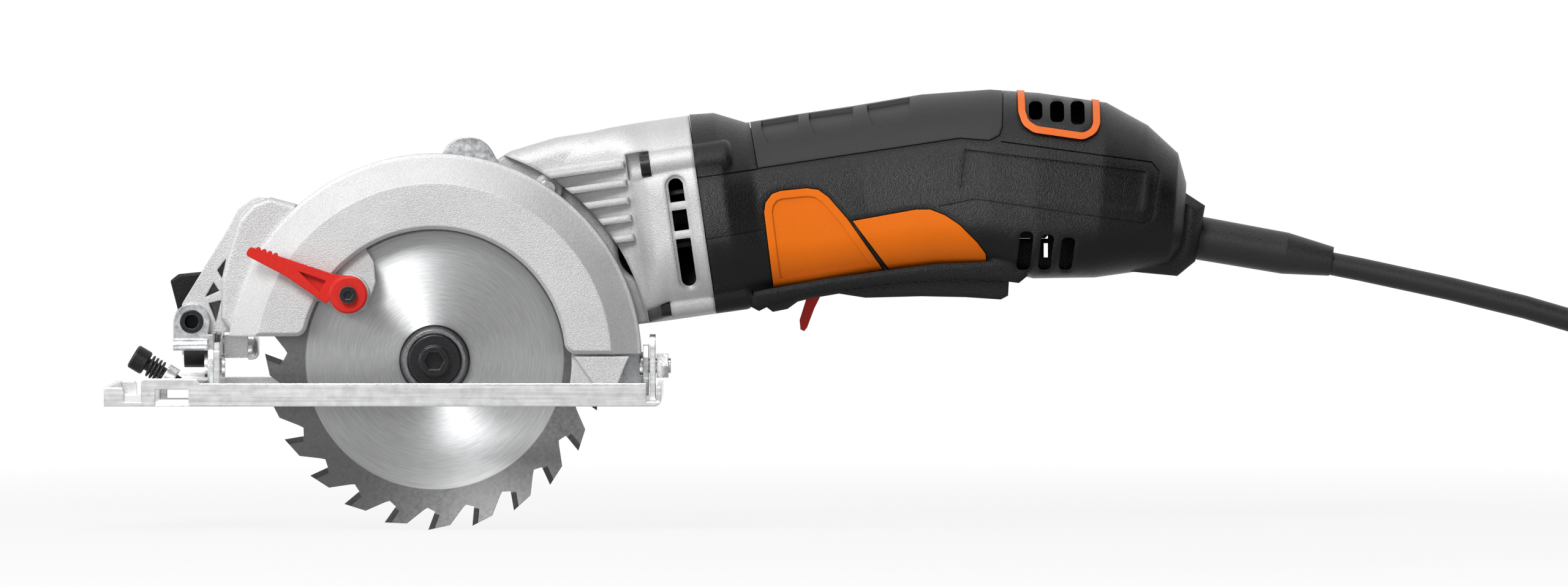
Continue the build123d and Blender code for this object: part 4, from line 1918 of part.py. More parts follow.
PAD_OUTLINES = [FRONT_PAD, REAR_PAD]
grip_seat = skin_layer([GRIP_OUTLINE], housing_cover_seat)
grip_layer = skin_layer([GRIP_OUTLINE], housing_cover_floor, SEAT, COVER_GAP)
scallop_cuts = skin_layer(SCALLOPS, housing_body(SCALLOP_DEPTH), SPINE_HALF)
pad_seats = skin_layer(PAD_OUTLINES, housing_cover_seat, PAD_INNER_HALF)
pad_layers = skin_layer(PAD_OUTLINES, housing_cover_floor, PAD_INNER_HALF + COVER_GAP, COVER_GAP)
pad_hollows = skin_layer([FRONT_PAD], housing_body(PAD_SINK), PAD_INNER_HALF + PAD_BORDER, PAD_BORDER)
line_outlines = [strip for route in PANEL_LINES for strip in line_strips(route, LINE_WIDTH)]
line_cuts = skin_layer(line_outlines + [LABEL_PANEL], housing_body(LINE_DEPTH), PAD_INNER_HALF)

with BuildPart(mode=Mode.PRIVATE) as trim_prism:
    slab(TRIM_OUTER, HOUSING_NEAR_Y, HOUSING_FAR_Y, corner=TRIM_CORNERS[0])
    slab(TRIM_INNER, HOUSING_NEAR_Y, HOUSING_FAR_Y, Mode.SUBTRACT, TRIM_CORNERS[1])

with BuildPart(mode=Mode.PRIVATE) as trim_groove:
    add(trim_prism.part)
    add(housing_outer, mode=Mode.INTERSECT)
    add(housing_cover_seat, mode=Mode.SUBTRACT)

with BuildPart(mode=Mode.PRIVATE) as inner_frame:
    for start, end in FIELD_WEBS:
        rod_s(FAR_OUT, start, end)
        rod_s(FIELD_RADIUS + SEAT, start, end, mode=Mode.SUBTRACT)
    rod_s(FAR_OUT, *BULKHEAD_S)
    rod_s(REAR_BEARING_RADIUS + SEAT, REAR_BEARING_S, BULKHEAD_S[1], mode=Mode.SUBTRACT)
    rod_s(SHAFT_RADIUS + 1, BULKHEAD_S[0], REAR_BEARING_S, mode=Mode.SUBTRACT)
    for across, up in (polar(AIR_HOLE_REACH, angle) for angle in (45, 135, 225, 315)):
        rod_s(AIR_HOLE, *BULKHEAD_S, across, up, mode=Mode.SUBTRACT)
    for place in HOUSING_SCREWS:
        rod_y(place, COLUMN_RADIUS, HOUSING_NEAR_Y, HOUSING_FAR_Y)
    for baffle in BAFFLES:
        slab(baffle, MOTOR_Y - BAFFLE_HALF, MOTOR_Y + BAFFLE_HALF)
    add(housing_outer, mode=Mode.INTERSECT)

with BuildPart(mode=Mode.PRIVATE) as collar_bosses:
    for across, up in BELL_SCREWS:
        rod_s(COLLAR_BOSS_RADIUS, 0, COLLAR_BOSS_END, across, up)
    boss_ends = collar_bosses.faces().group_by(Axis(pinion_plane.origin, MOTOR_DIR))[-1]
    fillet(boss_ends.edges(), COLLAR_BOSS_RADIUS / 2)

with BuildPart(mode=Mode.PRIVATE) as cord_boss:
    slab(CORD_BOSS, MOTOR_Y - CORD_BOSS_HALF, MOTOR_Y + CORD_BOSS_HALF)
    boss_sides = cord_boss.faces().filter_by(Axis.Y)
    chamfer(boss_sides.edges(), CORD_BOSS_CORNER)

vent_openings = []
for front, rear, low in LOUVRES:
    vent_openings.append([(front, low), (rear, low), (rear, LOUVRE_TOP), (front, LOUVRE_TOP)])
for front, rear, top in SIDE_VENTS:
    foot_front = (front - SIDE_VENT_LEAN, SIDE_VENT_BOTTOM)
    foot_rear = (rear - SIDE_VENT_LEAN, SIDE_VENT_BOTTOM)
    vent_openings.append([foot_front, foot_rear, (rear, top), (front, top)])

with BuildPart() as motor_housing:
    add(housing_outer)
    add(cord_boss.part)
    add(housing_inner, mode=Mode.SUBTRACT)
    add(inner_frame.part)
    slab(SKIRT_OUTLINE, MOTOR_Y - SKIRT_HALF, MOTOR_Y + SKIRT_HALF)
    add(collar_bosses.part)
    for layer in (grip_seat, pad_seats, line_cuts, trim_groove.part):
        add(layer, mode=Mode.SUBTRACT)
    slab(PADDLE_SLOT, MOTOR_Y - PADDLE_SLOT_HALF, MOTOR_Y + PADDLE_SLOT_HALF, mode=Mode.SUBTRACT)
    for opening in vent_openings:
        slab(opening, HOUSING_NEAR_Y, MOTOR_Y - BAFFLE_HALF, Mode.SUBTRACT, VENT_CORNER)
        slab(opening, MOTOR_Y + BAFFLE_HALF, HOUSING_FAR_Y, Mode.SUBTRACT, VENT_CORNER)
    rod_y(
        PADDLE_PIVOT,
        TRUNNION_RADIUS + RUN,
        MOTOR_Y - TRUNNION_REACH - RUN,
        MOTOR_Y + TRUNNION_REACH + RUN,
        mode=Mode.SUBTRACT,
    )
    rod_cord(SLEEVE_NECK + SEAT, -2 * CORD_BOSS_LENGTH, 1, mode=Mode.SUBTRACT)
    for across, up in BELL_SCREWS:
        rod_s(BELL_SCREW_SHANK + SEAT, -1, BELL_SCREW_END + 1, across, up, mode=Mode.SUBTRACT)
    for place in HOUSING_SCREWS:
        rod_y(place, HOUSING_SCREW_SHANK + SEAT, HOUSING_SCREW_TIP - 1, HOUSING_SCREW_Y, mode=Mode.SUBTRACT)
        rod_y(place, HOUSING_SCREW_HEAD + SEAT, HOUSING_SCREW_Y, HOUSING_FAR_Y, mode=Mode.SUBTRACT)
    rod_s(SHAFT_PASSAGE, -1, 4, mode=Mode.SUBTRACT)


with BuildPart() as motor_housing_near:
    add(motor_housing.part)
    slab(ALL_AROUND, MOTOR_Y, HOUSING_FAR_Y, mode=Mode.SUBTRACT)
save(motor_housing_near, "motor_housing_near")

with BuildPart() as motor_housing_far:
    add(motor_housing.part)
    slab(ALL_AROUND, HOUSING_NEAR_Y, MOTOR_Y, mode=Mode.SUBTRACT)
save(motor_housing_far, "motor_housing_far")

with BuildPart() as grip_covers:
    add(grip_layer)
    add(scallop_cuts, mode=Mode.SUBTRACT)
    for place in HOUSING_SCREWS:
        rod_y(place, HOUSING_SCREW_HEAD + SEAT, HOUSING_SCREW_Y, HOUSING_FAR_Y, mode=Mode.SUBTRACT)
save(grip_covers, "grip_covers")

with BuildPart() as side_pads:
    add(pad_layers)
    add(pad_hollows, mode=Mode.SUBTRACT)
save(side_pads, "side_pads")

TRIM_PROUD = 0.5

with BuildPart() as vent_trim:
    add(trim_prism.part)
    add(housing_body(-TRIM_PROUD), mode=Mode.INTERSECT)
    add(housing_cover_floor, mode=Mode.SUBTRACT)
save(vent_trim, "vent_trim")

with BuildPart() as housing_screws:
    for place in HOUSING_SCREWS:
        turn_y(
            step_profile(
                (HOUSING_SCREW_TIP, HOUSING_SCREW_Y, HOUSING_SCREW_SHANK),
                (HOUSING_SCREW_Y, HOUSING_SCREW_Y + HOUSING_HEAD_HEIGHT, HOUSING_SCREW_HEAD),
            ),
            place,
        )
save(housing_screws, "housing_screws")

# Paddle switch: a long hollow lever hinged at its front, with a lock-off lever in it

PADDLE_HALF = 12.0
PADDLE_WALL = 2.0
PADDLE_LOWER = [
    (112.5, 17.5),
    (114.5, 16.0),
    (119.5, 17.0),
    (123.0, 19.5),
    (127.0, 20.5),
    (137.0, 22.2),
    (146.0, 20.8),
    (165.0, 21.3),
    (180.0, 21.0),
    (192.0, 20.2),
    (194.5, 21.5),
]
PADDLE_UPPER = [
    (195.0, 31.0),
    (190.0, 33.0),
    (175.0, 33.0),
    (160.0, 30.0),
    (150.0, 28.4),
    (130.0, 26.4),
    (118.0, 25.0),
    (112.5, 22.5),
]
PADDLE_HOLLOW = [
    (140.0, 40.0),
    (140.0, 24.0),
    (146.0, 22.8),
    (165.0, 23.3),
    (180.0, 23.0),
    (191.0, 22.4),
    (192.6, 40.0),
]
LOCK_PIVOT = (128.8, 23.4)
LOCK_SLOT_X = (117.8, 134.6)
LOCK_SLOT_HALF = 4.3
LOCK_HALF = 4.0
LOCK_HUB = 2.8
LOCK_PIN = 1.5
LOCK_PIN_HALF = 6.4
LOCK_TONGUE = [
    (126.4, 23.4),
    (131.2, 23.4),
    (130.5, 20.8),
    (128.6, 17.0),
    (126.2, 10.6),
    (125.2, 9.3),
    (123.9, 9.9),
    (123.6, 13.0),
    (125.8, 20.0),
]

with BuildPart() as paddle_switch:
    slab(PADDLE_LOWER + PADDLE_UPPER, MOTOR_Y - PADDLE_HALF, MOTOR_Y + PADDLE_HALF)
    slab(
        PADDLE_HOLLOW,
        MOTOR_Y - PADDLE_HALF + PADDLE_WALL,
        MOTOR_Y + PADDLE_HALF - PADDLE_WALL,
        mode=Mode.SUBTRACT,
    )
    long_edges = paddle_switch.edges().filter_by(Plane.XZ)
    outer_low = [
        e
        for e in long_edges
        if abs(abs(e.center().Y - MOTOR_Y) - PADDLE_HALF) < 0.01 and e.center().Z - SPINDLE_Z < 22.3
    ]
    chamfer(outer_low, 1.0)
    slab(
        [(LOCK_SLOT_X[0], 10), (LOCK_SLOT_X[1], 10), (LOCK_SLOT_X[1], 40), (LOCK_SLOT_X[0], 40)],
        MOTOR_Y - LOCK_SLOT_HALF,
        MOTOR_Y + LOCK_SLOT_HALF,
        mode=Mode.SUBTRACT,
    )
    pin_room = LOCK_PIN_HALF + RUN
    rod_y(LOCK_PIVOT, LOCK_PIN + RUN, MOTOR_Y - pin_room, MOTOR_Y + pin_room, Mode.SUBTRACT)
    for turn in (-1, 1):
        near, far = sorted((MOTOR_Y + turn * (PADDLE_HALF - 1), MOTOR_Y + turn * TRUNNION_REACH))
        rod_y(PADDLE_PIVOT, TRUNNION_RADIUS, near, far)
save(paddle_switch, "paddle_switch")

with BuildPart() as lock_off_lever:
    rod_y(LOCK_PIVOT, LOCK_HUB, MOTOR_Y - LOCK_HALF, MOTOR_Y + LOCK_HALF)
    slab(LOCK_TONGUE, MOTOR_Y - LOCK_HALF, MOTOR_Y + LOCK_HALF)
    rod_y(LOCK_PIVOT, LOCK_PIN, MOTOR_Y - LOCK_PIN_HALF, MOTOR_Y + LOCK_PIN_HALF)
save(lock_off_lever, "lock_off_lever")

SWITCH_X = (186.0, 208.0)
SWITCH_Z = (41.0, 58.0)
SWITCH_HALF = 11.0
PLUNGER_RADIUS = 2.5
PLUNGER_X = 190.5

with BuildPart() as switch_body:
    block(
        *SWITCH_X,
        MOTOR_Y - SWITCH_HALF,
        MOTOR_Y + SWITCH_HALF,
        SPINDLE_Z + SWITCH_Z[0],
        SPINDLE_Z + SWITCH_Z[1],
    )
    chamfer(switch_body.edges().filter_by(Axis.Y), 1.0)
    with BuildSketch(Plane(origin=(PLUNGER_X, MOTOR_Y, SPINDLE_Z + SWITCH_Z[0]))) as plunger:
        Circle(PLUNGER_RADIUS)
    extrude(plunger.sketch, amount=-1.0)
save(switch_body, "switch_body")

PADDLE_SPRING_X = 179.0
PADDLE_SPRING_Z = (23.7, 39.4)
PADDLE_SPRING_RADIUS = 4.0
PADDLE_SPRING_WIRE = 0.5
PADDLE_SPRING_TURNS = 5


def upright_plane(z):
    """Level plane on the paddle spring's axis, z above the spindle."""
    return Plane(origin=(PADDLE_SPRING_X, MOTOR_Y, SPINDLE_Z + z))


paddle_spring_part, paddle_spring_path = wound_tube(
    coil_stations(upright_plane, PADDLE_SPRING_RADIUS, *PADDLE_SPRING_Z, PADDLE_SPRING_TURNS),
    PADDLE_SPRING_WIRE,
)
paddle_spring_gap = least_gap(paddle_spring_path, PADDLE_SPRING_WIRE, 2 * pi * PADDLE_SPRING_RADIUS)
print("paddle spring gap", round(paddle_spring_gap, 2))
with BuildPart() as paddle_spring:
    add(paddle_spring_part)
save(paddle_spring, "paddle_spring")

# Cord: a clamp inside the housing, a tapered sleeve, the run to the floor, a coil and a plug

CLAMP_BLOCK_T = (-23.6, -14.2)
CLAMP_BLOCK_HALF = 8.0
CLAMP_BLOCK_HEIGHT = 6.4

with BuildPart() as cord_clamp:
    with BuildSketch(cord_plane(CLAMP_BLOCK_T[0])) as clamp_block:
        RectangleRounded(2 * CLAMP_BLOCK_HALF, 2 * CLAMP_BLOCK_HEIGHT, 1.5)
        Circle(CORD_RADIUS + SEAT, mode=Mode.SUBTRACT)
    extrude(amount=CLAMP_BLOCK_T[1] - CLAMP_BLOCK_T[0])
save(cord_clamp, "cord_clamp")

with BuildPart() as cord_sleeve:
    with BuildSketch(Plane(origin=cord_plane(0).origin, x_dir=CORD_DIR, z_dir=(0, -1, 0))) as sleeve:
        Polygon(
            (1 - CORD_BOSS_LENGTH + 2, CORD_RADIUS + SEAT),
            (1 - CORD_BOSS_LENGTH + 2, SLEEVE_NECK),
            (SLEEVE_PROFILE[0][0], SLEEVE_NECK),
            *SLEEVE_PROFILE,
            (SLEEVE_PROFILE[-1][0], CORD_RADIUS + SEAT),
            align=None,
        )
    revolve(axis=Axis(cord_plane(0).origin, CORD_DIR))
save(cord_sleeve, "cord_sleeve")

FLOOR_Z = -MAX_CUT
CORD_ROUTE = [
    cord_plane(-24.0).origin,
    cord_plane(92.0).origin,
    Vector(430.0, 28.0, 13.4),
    Vector(482.0, 10.0, -18.0),
    Vector(530.0, -22.0, FLOOR_Z + CORD_RADIUS),
    Vector(584.0, -22.0, FLOOR_Z + CORD_RADIUS),
]


def bend_radii(route):
    """Bend radius at each inner point of a route, from its runs and its turn."""
    radii = []
    for before, at, after in zip(route, route[1:], route[2:]):
        turn = radians((at - before).get_angle(after - at))
        radii.append(0.45 * min((at - before).length, (after - at).length) / tan(turn / 2))
    return radii


cord_bends = bend_radii(CORD_ROUTE)

with BuildPart() as power_cord:
    with BuildLine() as cord_path:
        FilletPolyline(*CORD_ROUTE, radius=cord_bends)
    with BuildSketch(cord_plane(-24.0)) as cord_section:
        Circle(CORD_RADIUS)
    sweep(cord_section.sketch, path=cord_path.wires()[0])
save(power_cord, "power_cord")
print("cord bends", [round(r) for r in cord_bends], "length", round(cord_path.wires()[0].length))
cord_plain_volume = pi * CORD_RADIUS**2 * cord_path.wires()[0].length
print("cord volume ratio", round(power_cord.part.volume / cord_plain_volume, 3))

# The coil starts where the run lies on the floor: four layers in and out, with the plug lying on top
COIL_INNER = 40.6
COIL_PITCH = 8.7
COIL_HALF_TURNS = 3  # in each layer
COIL_CLEAR = 3.5  # more room beside the half turn that climbs to a layer
COIL_OUTER = COIL_INNER + (COIL_HALF_TURNS + 1) * COIL_PITCH / 2
COIL_LAYERS = (-1, 1, -1, 1)  # inwards or outwards
COIL_LAST = 50.0
PLUG_HALF_HEIGHT = 8.0
PLUG_REST = 0.3
COIL_TAIL = 2 * CORD_RADIUS
coil_start = CORD_ROUTE[-1]
coil_dir = (CORD_ROUTE[-1] - CORD_ROUTE[-2]).normalized()
coil_out = Vector(coil_dir.Y, -coil_dir.X, 0)
coil_center = coil_start + coil_dir * COIL_TAIL - coil_out * COIL_OUTER
coil_turns = [(COIL_OUTER, 0.0)]
for layer, way in enumerate(COIL_LAYERS):
    room = COIL_CLEAR if layer else 0.0
    first = coil_turns[-1][0] + way * room
    steps = COIL_HALF_TURNS + 1 if layer < len(COIL_LAYERS) - 1 else COIL_HALF_TURNS - 1
    for k in range(1, steps + 1):
        level = layer + 1 if k > COIL_HALF_TURNS else layer
        coil_turns.append((first + way * COIL_PITCH * k / 2, level * COIL_PITCH))
coil_turns.append((COIL_LAST, coil_turns[-1][1] + CORD_RADIUS + PLUG_REST + PLUG_HALF_HEIGHT))
coil_stops = []
for k, (radius, height) in enumerate(coil_turns):
    sign = 1 if k % 2 == 0 else -1
    place = coil_center + coil_out * (sign * radius) + Vector(0, 0, height)
    coil_stops.append((place, coil_dir * sign))
coil_end, coil_end_dir = coil_stops[-1]

with BuildPart() as cord_coil:
    with BuildLine() as coil_path:
        Line(coil_start, coil_stops[0][0])
        for (p, p_dir), (q, q_dir) in zip(coil_stops, coil_stops[1:]):
            half_turn(p, p_dir, q, q_dir)
        Line(coil_end, coil_end + coil_end_dir * COIL_TAIL)
    with BuildSketch(Plane(origin=coil_start, z_dir=coil_dir)) as coil_section:
        Circle(CORD_RADIUS)
    sweep(coil_section.sketch, path=coil_path.wires()[0])
save(cord_coil, "cord_coil")
print("coil gap", round(least_gap(coil_path.wires()[0], CORD_RADIUS, 2 * pi * COIL_INNER), 2))
print("coil length", round(coil_path.wires()[0].length))
coil_plain_volume = pi * CORD_RADIUS**2 * coil_path.wires()[0].length
print("coil volume ratio", round(cord_coil.part.volume / coil_plain_volume, 3))

PLUG_LENGTH = 36.0
PLUG_WIDTH = 27.0
PLUG_PIN_RADIUS = 2.0
PLUG_PIN_LENGTH = 19.0
PLUG_PIN_HALF = 9.0
plug_start = coil_end + coil_end_dir * (COIL_TAIL + SEAT)


def plug_plane(t):
    """Plane square to the plug, t from the cord's end."""
    return Plane(origin=plug_start + coil_end_dir * t, x_dir=coil_out, z_dir=coil_end_dir)


with BuildPart() as plug:
    for t, width, height in ((0, 12.0, 10.0), (8.0, 14.0, 12.0), (18.0, PLUG_WIDTH, 2 * PLUG_HALF_HEIGHT)):
        with BuildSketch(plug_plane(t)):
            RectangleRounded(width, height, 4.0)
    loft(ruled=True)
    with BuildSketch(plug_plane(18.0)):
        RectangleRounded(PLUG_WIDTH, 2 * PLUG_HALF_HEIGHT, 4.0)
    extrude(amount=PLUG_LENGTH - 18.0)
    with BuildSketch(plug_plane(PLUG_LENGTH)):
        with Locations((PLUG_PIN_HALF, 0), (-PLUG_PIN_HALF, 0)):
            Circle(PLUG_PIN_RADIUS)
    extrude(amount=PLUG_PIN_LENGTH)
save(plug, "plug")
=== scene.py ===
from math import cos, pi, radians, sin

import bmesh
import bpy
from mathutils import Matrix, Vector


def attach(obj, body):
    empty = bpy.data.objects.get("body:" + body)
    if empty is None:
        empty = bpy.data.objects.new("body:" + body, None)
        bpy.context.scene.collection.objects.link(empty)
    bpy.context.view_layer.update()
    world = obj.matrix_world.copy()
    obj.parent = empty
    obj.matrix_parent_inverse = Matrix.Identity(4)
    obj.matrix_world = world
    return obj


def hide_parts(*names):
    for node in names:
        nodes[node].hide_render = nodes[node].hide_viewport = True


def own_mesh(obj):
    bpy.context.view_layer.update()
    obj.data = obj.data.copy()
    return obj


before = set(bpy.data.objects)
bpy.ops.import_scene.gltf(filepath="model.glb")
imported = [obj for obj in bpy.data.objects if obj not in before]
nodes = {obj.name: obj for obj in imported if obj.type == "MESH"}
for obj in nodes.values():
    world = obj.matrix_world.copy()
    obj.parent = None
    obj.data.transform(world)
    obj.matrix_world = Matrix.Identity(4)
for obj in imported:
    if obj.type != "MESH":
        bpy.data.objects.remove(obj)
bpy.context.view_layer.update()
scene = bpy.context.scene
scene.view_settings.view_transform = "Standard"


# Camera: a long lens on the blade side, a little above the sole, looking straight across the saw.
# The frame is 531 mm wide at the blade's plane.
PICTURE_WIDTH = 0.5311
CAMERA_AT = Vector((0.1183, 0.0, 0.0374))
CAMERA_DISTANCE = 5.0
CAMERA_ELEVATION = radians(1.0)
SENSOR = 36.0

camera_data = bpy.data.cameras.new("camera")
camera_data.sensor_width = SENSOR
camera_data.lens = SENSOR * CAMERA_DISTANCE / PICTURE_WIDTH
camera = bpy.data.objects.new("camera", camera_data)
scene.collection.objects.link(camera)
backwards = Vector((0, -cos(CAMERA_ELEVATION), sin(CAMERA_ELEVATION)))
camera.location = CAMERA_AT + backwards * CAMERA_DISTANCE
camera.rotation_euler = (-backwards).to_track_quat("-Z", "Y").to_euler()
scene.camera = camera


# Studio: a pale floor at the blade's lowest point, white paper round the saw and three soft boxes. The metal
# shows the paper, greyer in front, and two black flags there, one high on the right and one low on the left.
FLOOR_Z = -0.0427
FLOOR_SIZE = 14.0
PAPER = (0.55, 0.55, 0.55, 1)
WHITE = (1, 1, 1, 1)
PAPER_GLOW = 0.88
SHADOW_REACH = (0.35, 0.8)
FLOOR_BEHIND = (0.0, 0.2)
WALL_LOW = (0.05, 0.05, 0.051, 1)
WALL_HIGH = (0.36, 0.36, 0.37, 1)
WALL_RISE = (-0.1, 0.9)
ROOM_BEHIND = (-0.2, 0.2)
FRONT_TONE = 0.9
FLAG_TONE = 0.05
FLAG_EDGE = (0.04, 0.12)


def put(tree, kind, inputs=None, **settings):
    """New shader node; an input takes a value or another node's output."""
    made = tree.nodes.new("ShaderNode" + kind)
    for name, value in settings.items():
        setattr(made, name, value)
    for name, value in (inputs or {}).items():
        if isinstance(value, bpy.types.NodeSocket):
            tree.links.new(value, made.inputs[name])
        else:
            made.inputs[name].default_value = value
    return made


def reckon(tree, operation, *terms):
    """Result of one step of arithmetic on numbers and outputs."""
    return put(tree, "Math", dict(enumerate(terms)), operation=operation).outputs[0]


def remap(tree, value, span, onto=(0.0, 1.0)):
    """Value carried from one span onto another, and held at its ends."""
    ends = {"From Min": span[0], "From Max": span[1], "To Min": onto[0], "To Max": onto[1]}
    return put(tree, "MapRange", {"Value": value, **ends}).outputs[0]


def blend_colors(tree, share, first, second):
    """Colour between two colours, by a share from 0 to 1."""
    return put(tree, "Mix", {0: share, 6: first, 7: second}, data_type="RGBA").outputs[2]


def backdrop_rays(tree):
    """Two shares of a ray: 1 where a glossy surface sends it, and 1 from the camera or a clear surface."""
    ray = put(tree, "LightPath").outputs
    return ray["Is Glossy Ray"], reckon(tree, "MAXIMUM", ray["Is Camera Ray"], ray["Is Transmission Ray"])


def add_object(name, data):
    """New object in the scene for a mesh, a curve or a lamp."""
    made = bpy.data.objects.new(name, data)
    scene.collection.objects.link(made)
    return made


def add_mesh(name, shape):
    """New object from a finished bmesh, which is used up."""
    data = bpy.data.meshes.new(name)
    shape.to_mesh(data)
    shape.free()
    return add_object(name, data)


def soft_box(name, place, aim, size, power):
    """Square lamp, pointed at a spot on the saw."""
    data = bpy.data.lights.new(name, "AREA")
    data.shape = "SQUARE"
    data.size = size
    data.energy = power
    lamp = add_object(name, data)
    lamp.location = place
    lamp.rotation_euler = (Vector(aim) - Vector(place)).to_track_quat("-Z", "Y").to_euler()


floor_shape = bmesh.new()
bmesh.ops.create_grid(floor_shape, x_segments=1, y_segments=1, size=FLOOR_SIZE / 2)
bmesh.ops.translate(floor_shape, verts=floor_shape.verts, vec=(0, 0, FLOOR_Z))
floor = add_mesh("floor", floor_shape)

paper = bpy.data.materials.new("floor_paper")
paper.use_nodes = True
tree = paper.node_tree
tree.nodes.clear()
mirrored, shown = backdrop_rays(tree)
spot = put(tree, "TexCoord").outputs["Object"]
away = put(tree, "VectorMath", {0: spot, 1: CAMERA_AT}, operation="DISTANCE").outputs["Value"]
bare = remap(tree, away, SHADOW_REACH, onto=(PAPER_GLOW, 1.0))
behind = remap(tree, put(tree, "SeparateXYZ", {0: spot}).outputs["Y"], FLOOR_BEHIND)
mirrored = reckon(tree, "MULTIPLY", mirrored, behind)
share = reckon(tree, "MULTIPLY", reckon(tree, "MAXIMUM", mirrored, shown), bare)
lit = put(tree, "BsdfDiffuse", {"Color": PAPER})
glow = put(tree, "Emission", {"Color": WHITE, "Strength": 1.0})
both = put(tree, "MixShader", {0: share, 1: lit.outputs[0], 2: glow.outputs[0]})
put(tree, "OutputMaterial", {"Surface": both.outputs[0]})
floor.data.materials.append(paper)

world = bpy.data.worlds.new("room")
scene.world = world
world.use_nodes = True
tree = world.node_tree
tree.nodes.clear()
mirrored, shown = backdrop_rays(tree)
facing = put(tree, "TexCoord").outputs["Generated"]
axes = put(tree, "SeparateXYZ", {0: facing}).outputs
walls = blend_colors(tree, remap(tree, axes["Z"], WALL_RISE), WALL_LOW, WALL_HIGH)
behind = remap(tree, axes["Y"], ROOM_BEHIND)
corner = reckon(tree, "MULTIPLY", axes["X"], axes["Z"])
front = remap(tree, corner, FLAG_EDGE, onto=(FRONT_TONE, FLAG_TONE))
seen = blend_colors(tree, mirrored, walls, reckon(tree, "MAXIMUM", behind, front))
seen = blend_colors(tree, shown, seen, WHITE)
backdrop = put(tree, "Background", {"Color": seen, "Strength": 1.0})
put(tree, "OutputWorld", {"Surface": backdrop.outputs[0]})

soft_box("front_box", place=(-0.45, -1.3, 1.0), aim=(0.08, 0, 0.04), size=0.6, power=20.0)
soft_box("top_box", place=(0.15, -0.25, 1.2), aim=(0.12, 0, 0.04), size=0.45, power=3.0)
soft_box("left_box", place=(-1.3, -0.4, 0.4), aim=(0.0, 0, 0.04), size=0.5, power=4.0)


# Castings: both guards, the gear housing and its cover are aluminium die castings with a bead-blasted skin.
# The upper guard carries the front arm, the housing the ribs, and screws hold the housing's pieces together.
CAST_ALLOY = (0.58, 0.58, 0.58, 1)
CAST_SKIN = {"grain": 2400.0, "contrast": 0.3, "rough": 0.46, "depth": 0.00012, "metallic": 0.4}
EDGE_TURN = (0.99, 0.8)
NOISE_SPAN = (0.3, 0.7)
CLOUD_GRAIN = 45.0
CLOUD_SWING = 0.2
GLOSS_SPREAD = 0.16


def shader_group(name, inputs, outputs):
    """Empty node group with named sockets, and its two end nodes."""
    group = bpy.data.node_groups.new(name, "ShaderNodeTree")
    for label, kind in inputs:
        group.interface.new_socket(name=label, in_out="INPUT", socket_type="NodeSocket" + kind)
    for label, kind in outputs:
        group.interface.new_socket(name=label, in_out="OUTPUT", socket_type="NodeSocket" + kind)
    return group, group.nodes.new("NodeGroupInput").outputs, group.nodes.new("NodeGroupOutput").inputs


def place_group(tree, group, inputs):
    """Outputs of a node group placed in a material with its own values."""
    return put(tree, "Group", inputs, node_tree=group).outputs


def scale_color(tree, color, gain):
    """Colour made lighter or darker by a factor."""
    return put(tree, "VectorMath", {0: color, "Scale": gain}, operation="SCALE").outputs[0]


# rounded edges: the normal of an edge worn to a radius, and a mask of where it turns from the flat one
rounded_edges, given, result = shader_group(
    "rounded_edges", [("Radius", "Float")], [("Normal", "Vector"), ("Edge", "Float")]
)
tree = rounded_edges
soft = put(tree, "Bevel", {"Radius": given["Radius"]}, samples=4).outputs[0]
plain = put(tree, "NewGeometry").outputs["Normal"]
turn = put(tree, "VectorMath", {0: soft, 1: plain}, operation="DOT_PRODUCT").outputs["Value"]
tree.links.new(soft, result["Normal"])
tree.links.new(remap(tree, turn, EDGE_TURN), result["Edge"])

# grained skin: specks of two sizes in colour and gloss, and the fine ones in height
grained_skin, given, result = shader_group(
    "grained_skin",
    [("Color", "Color"), ("Grain", "Float"), ("Contrast", "Float"), ("Rough", "Float"), ("Spread", "Float")],
    [("Color", "Color"), ("Roughness", "Float"), ("Height", "Float")],
)
tree = grained_skin
spot = put(tree, "TexCoord").outputs["Object"]
speck = put(tree, "TexNoise", {"Vector": spot, "Scale": given["Grain"], "Detail": 2.0, "Roughness": 0.65})
speck = remap(tree, speck.outputs[0], NOISE_SPAN)
cloud = put(tree, "TexNoise", {"Vector": spot, "Scale": CLOUD_GRAIN, "Detail": 3.0})
cloud = remap(tree, cloud.outputs[0], NOISE_SPAN, onto=(-CLOUD_SWING, CLOUD_SWING))
level = reckon(tree, "ADD", reckon(tree, "ADD", speck, -0.5), cloud)
gain = reckon(tree, "MULTIPLY_ADD", level, given["Contrast"], 1.0)
gloss = reckon(tree, "MULTIPLY_ADD", level, given["Spread"], given["Rough"])
tree.links.new(scale_color(tree, given["Color"], gain), result["Color"])
tree.links.new(gloss, result["Roughness"])
tree.links.new(speck, result["Height"])


def plain_finish(name, metallic=0.0):
    """New material with one Principled shader, its node tree and the shader's sockets."""
    material = bpy.data.materials.new(name)
    material.use_nodes = True
    tree = material.node_tree
    tree.nodes.clear()
    shader = put(tree, "BsdfPrincipled", {"Metallic": metallic})
    put(tree, "OutputMaterial", {"Surface": shader.outputs[0]})
    return material, tree, shader.inputs


def close_finish(tree, sockets, color, roughness, height, normal, depth, strength=0.6):
    """Join a skin's colour, gloss and relief to the shader."""
    relief = put(tree, "Bump", {"Strength": strength, "Distance": depth, "Height": height, "Normal": normal})
    for name, output in (("Base Color", color), ("Roughness", roughness), ("Normal", relief.outputs[0])):
        tree.links.new(output, sockets[name])


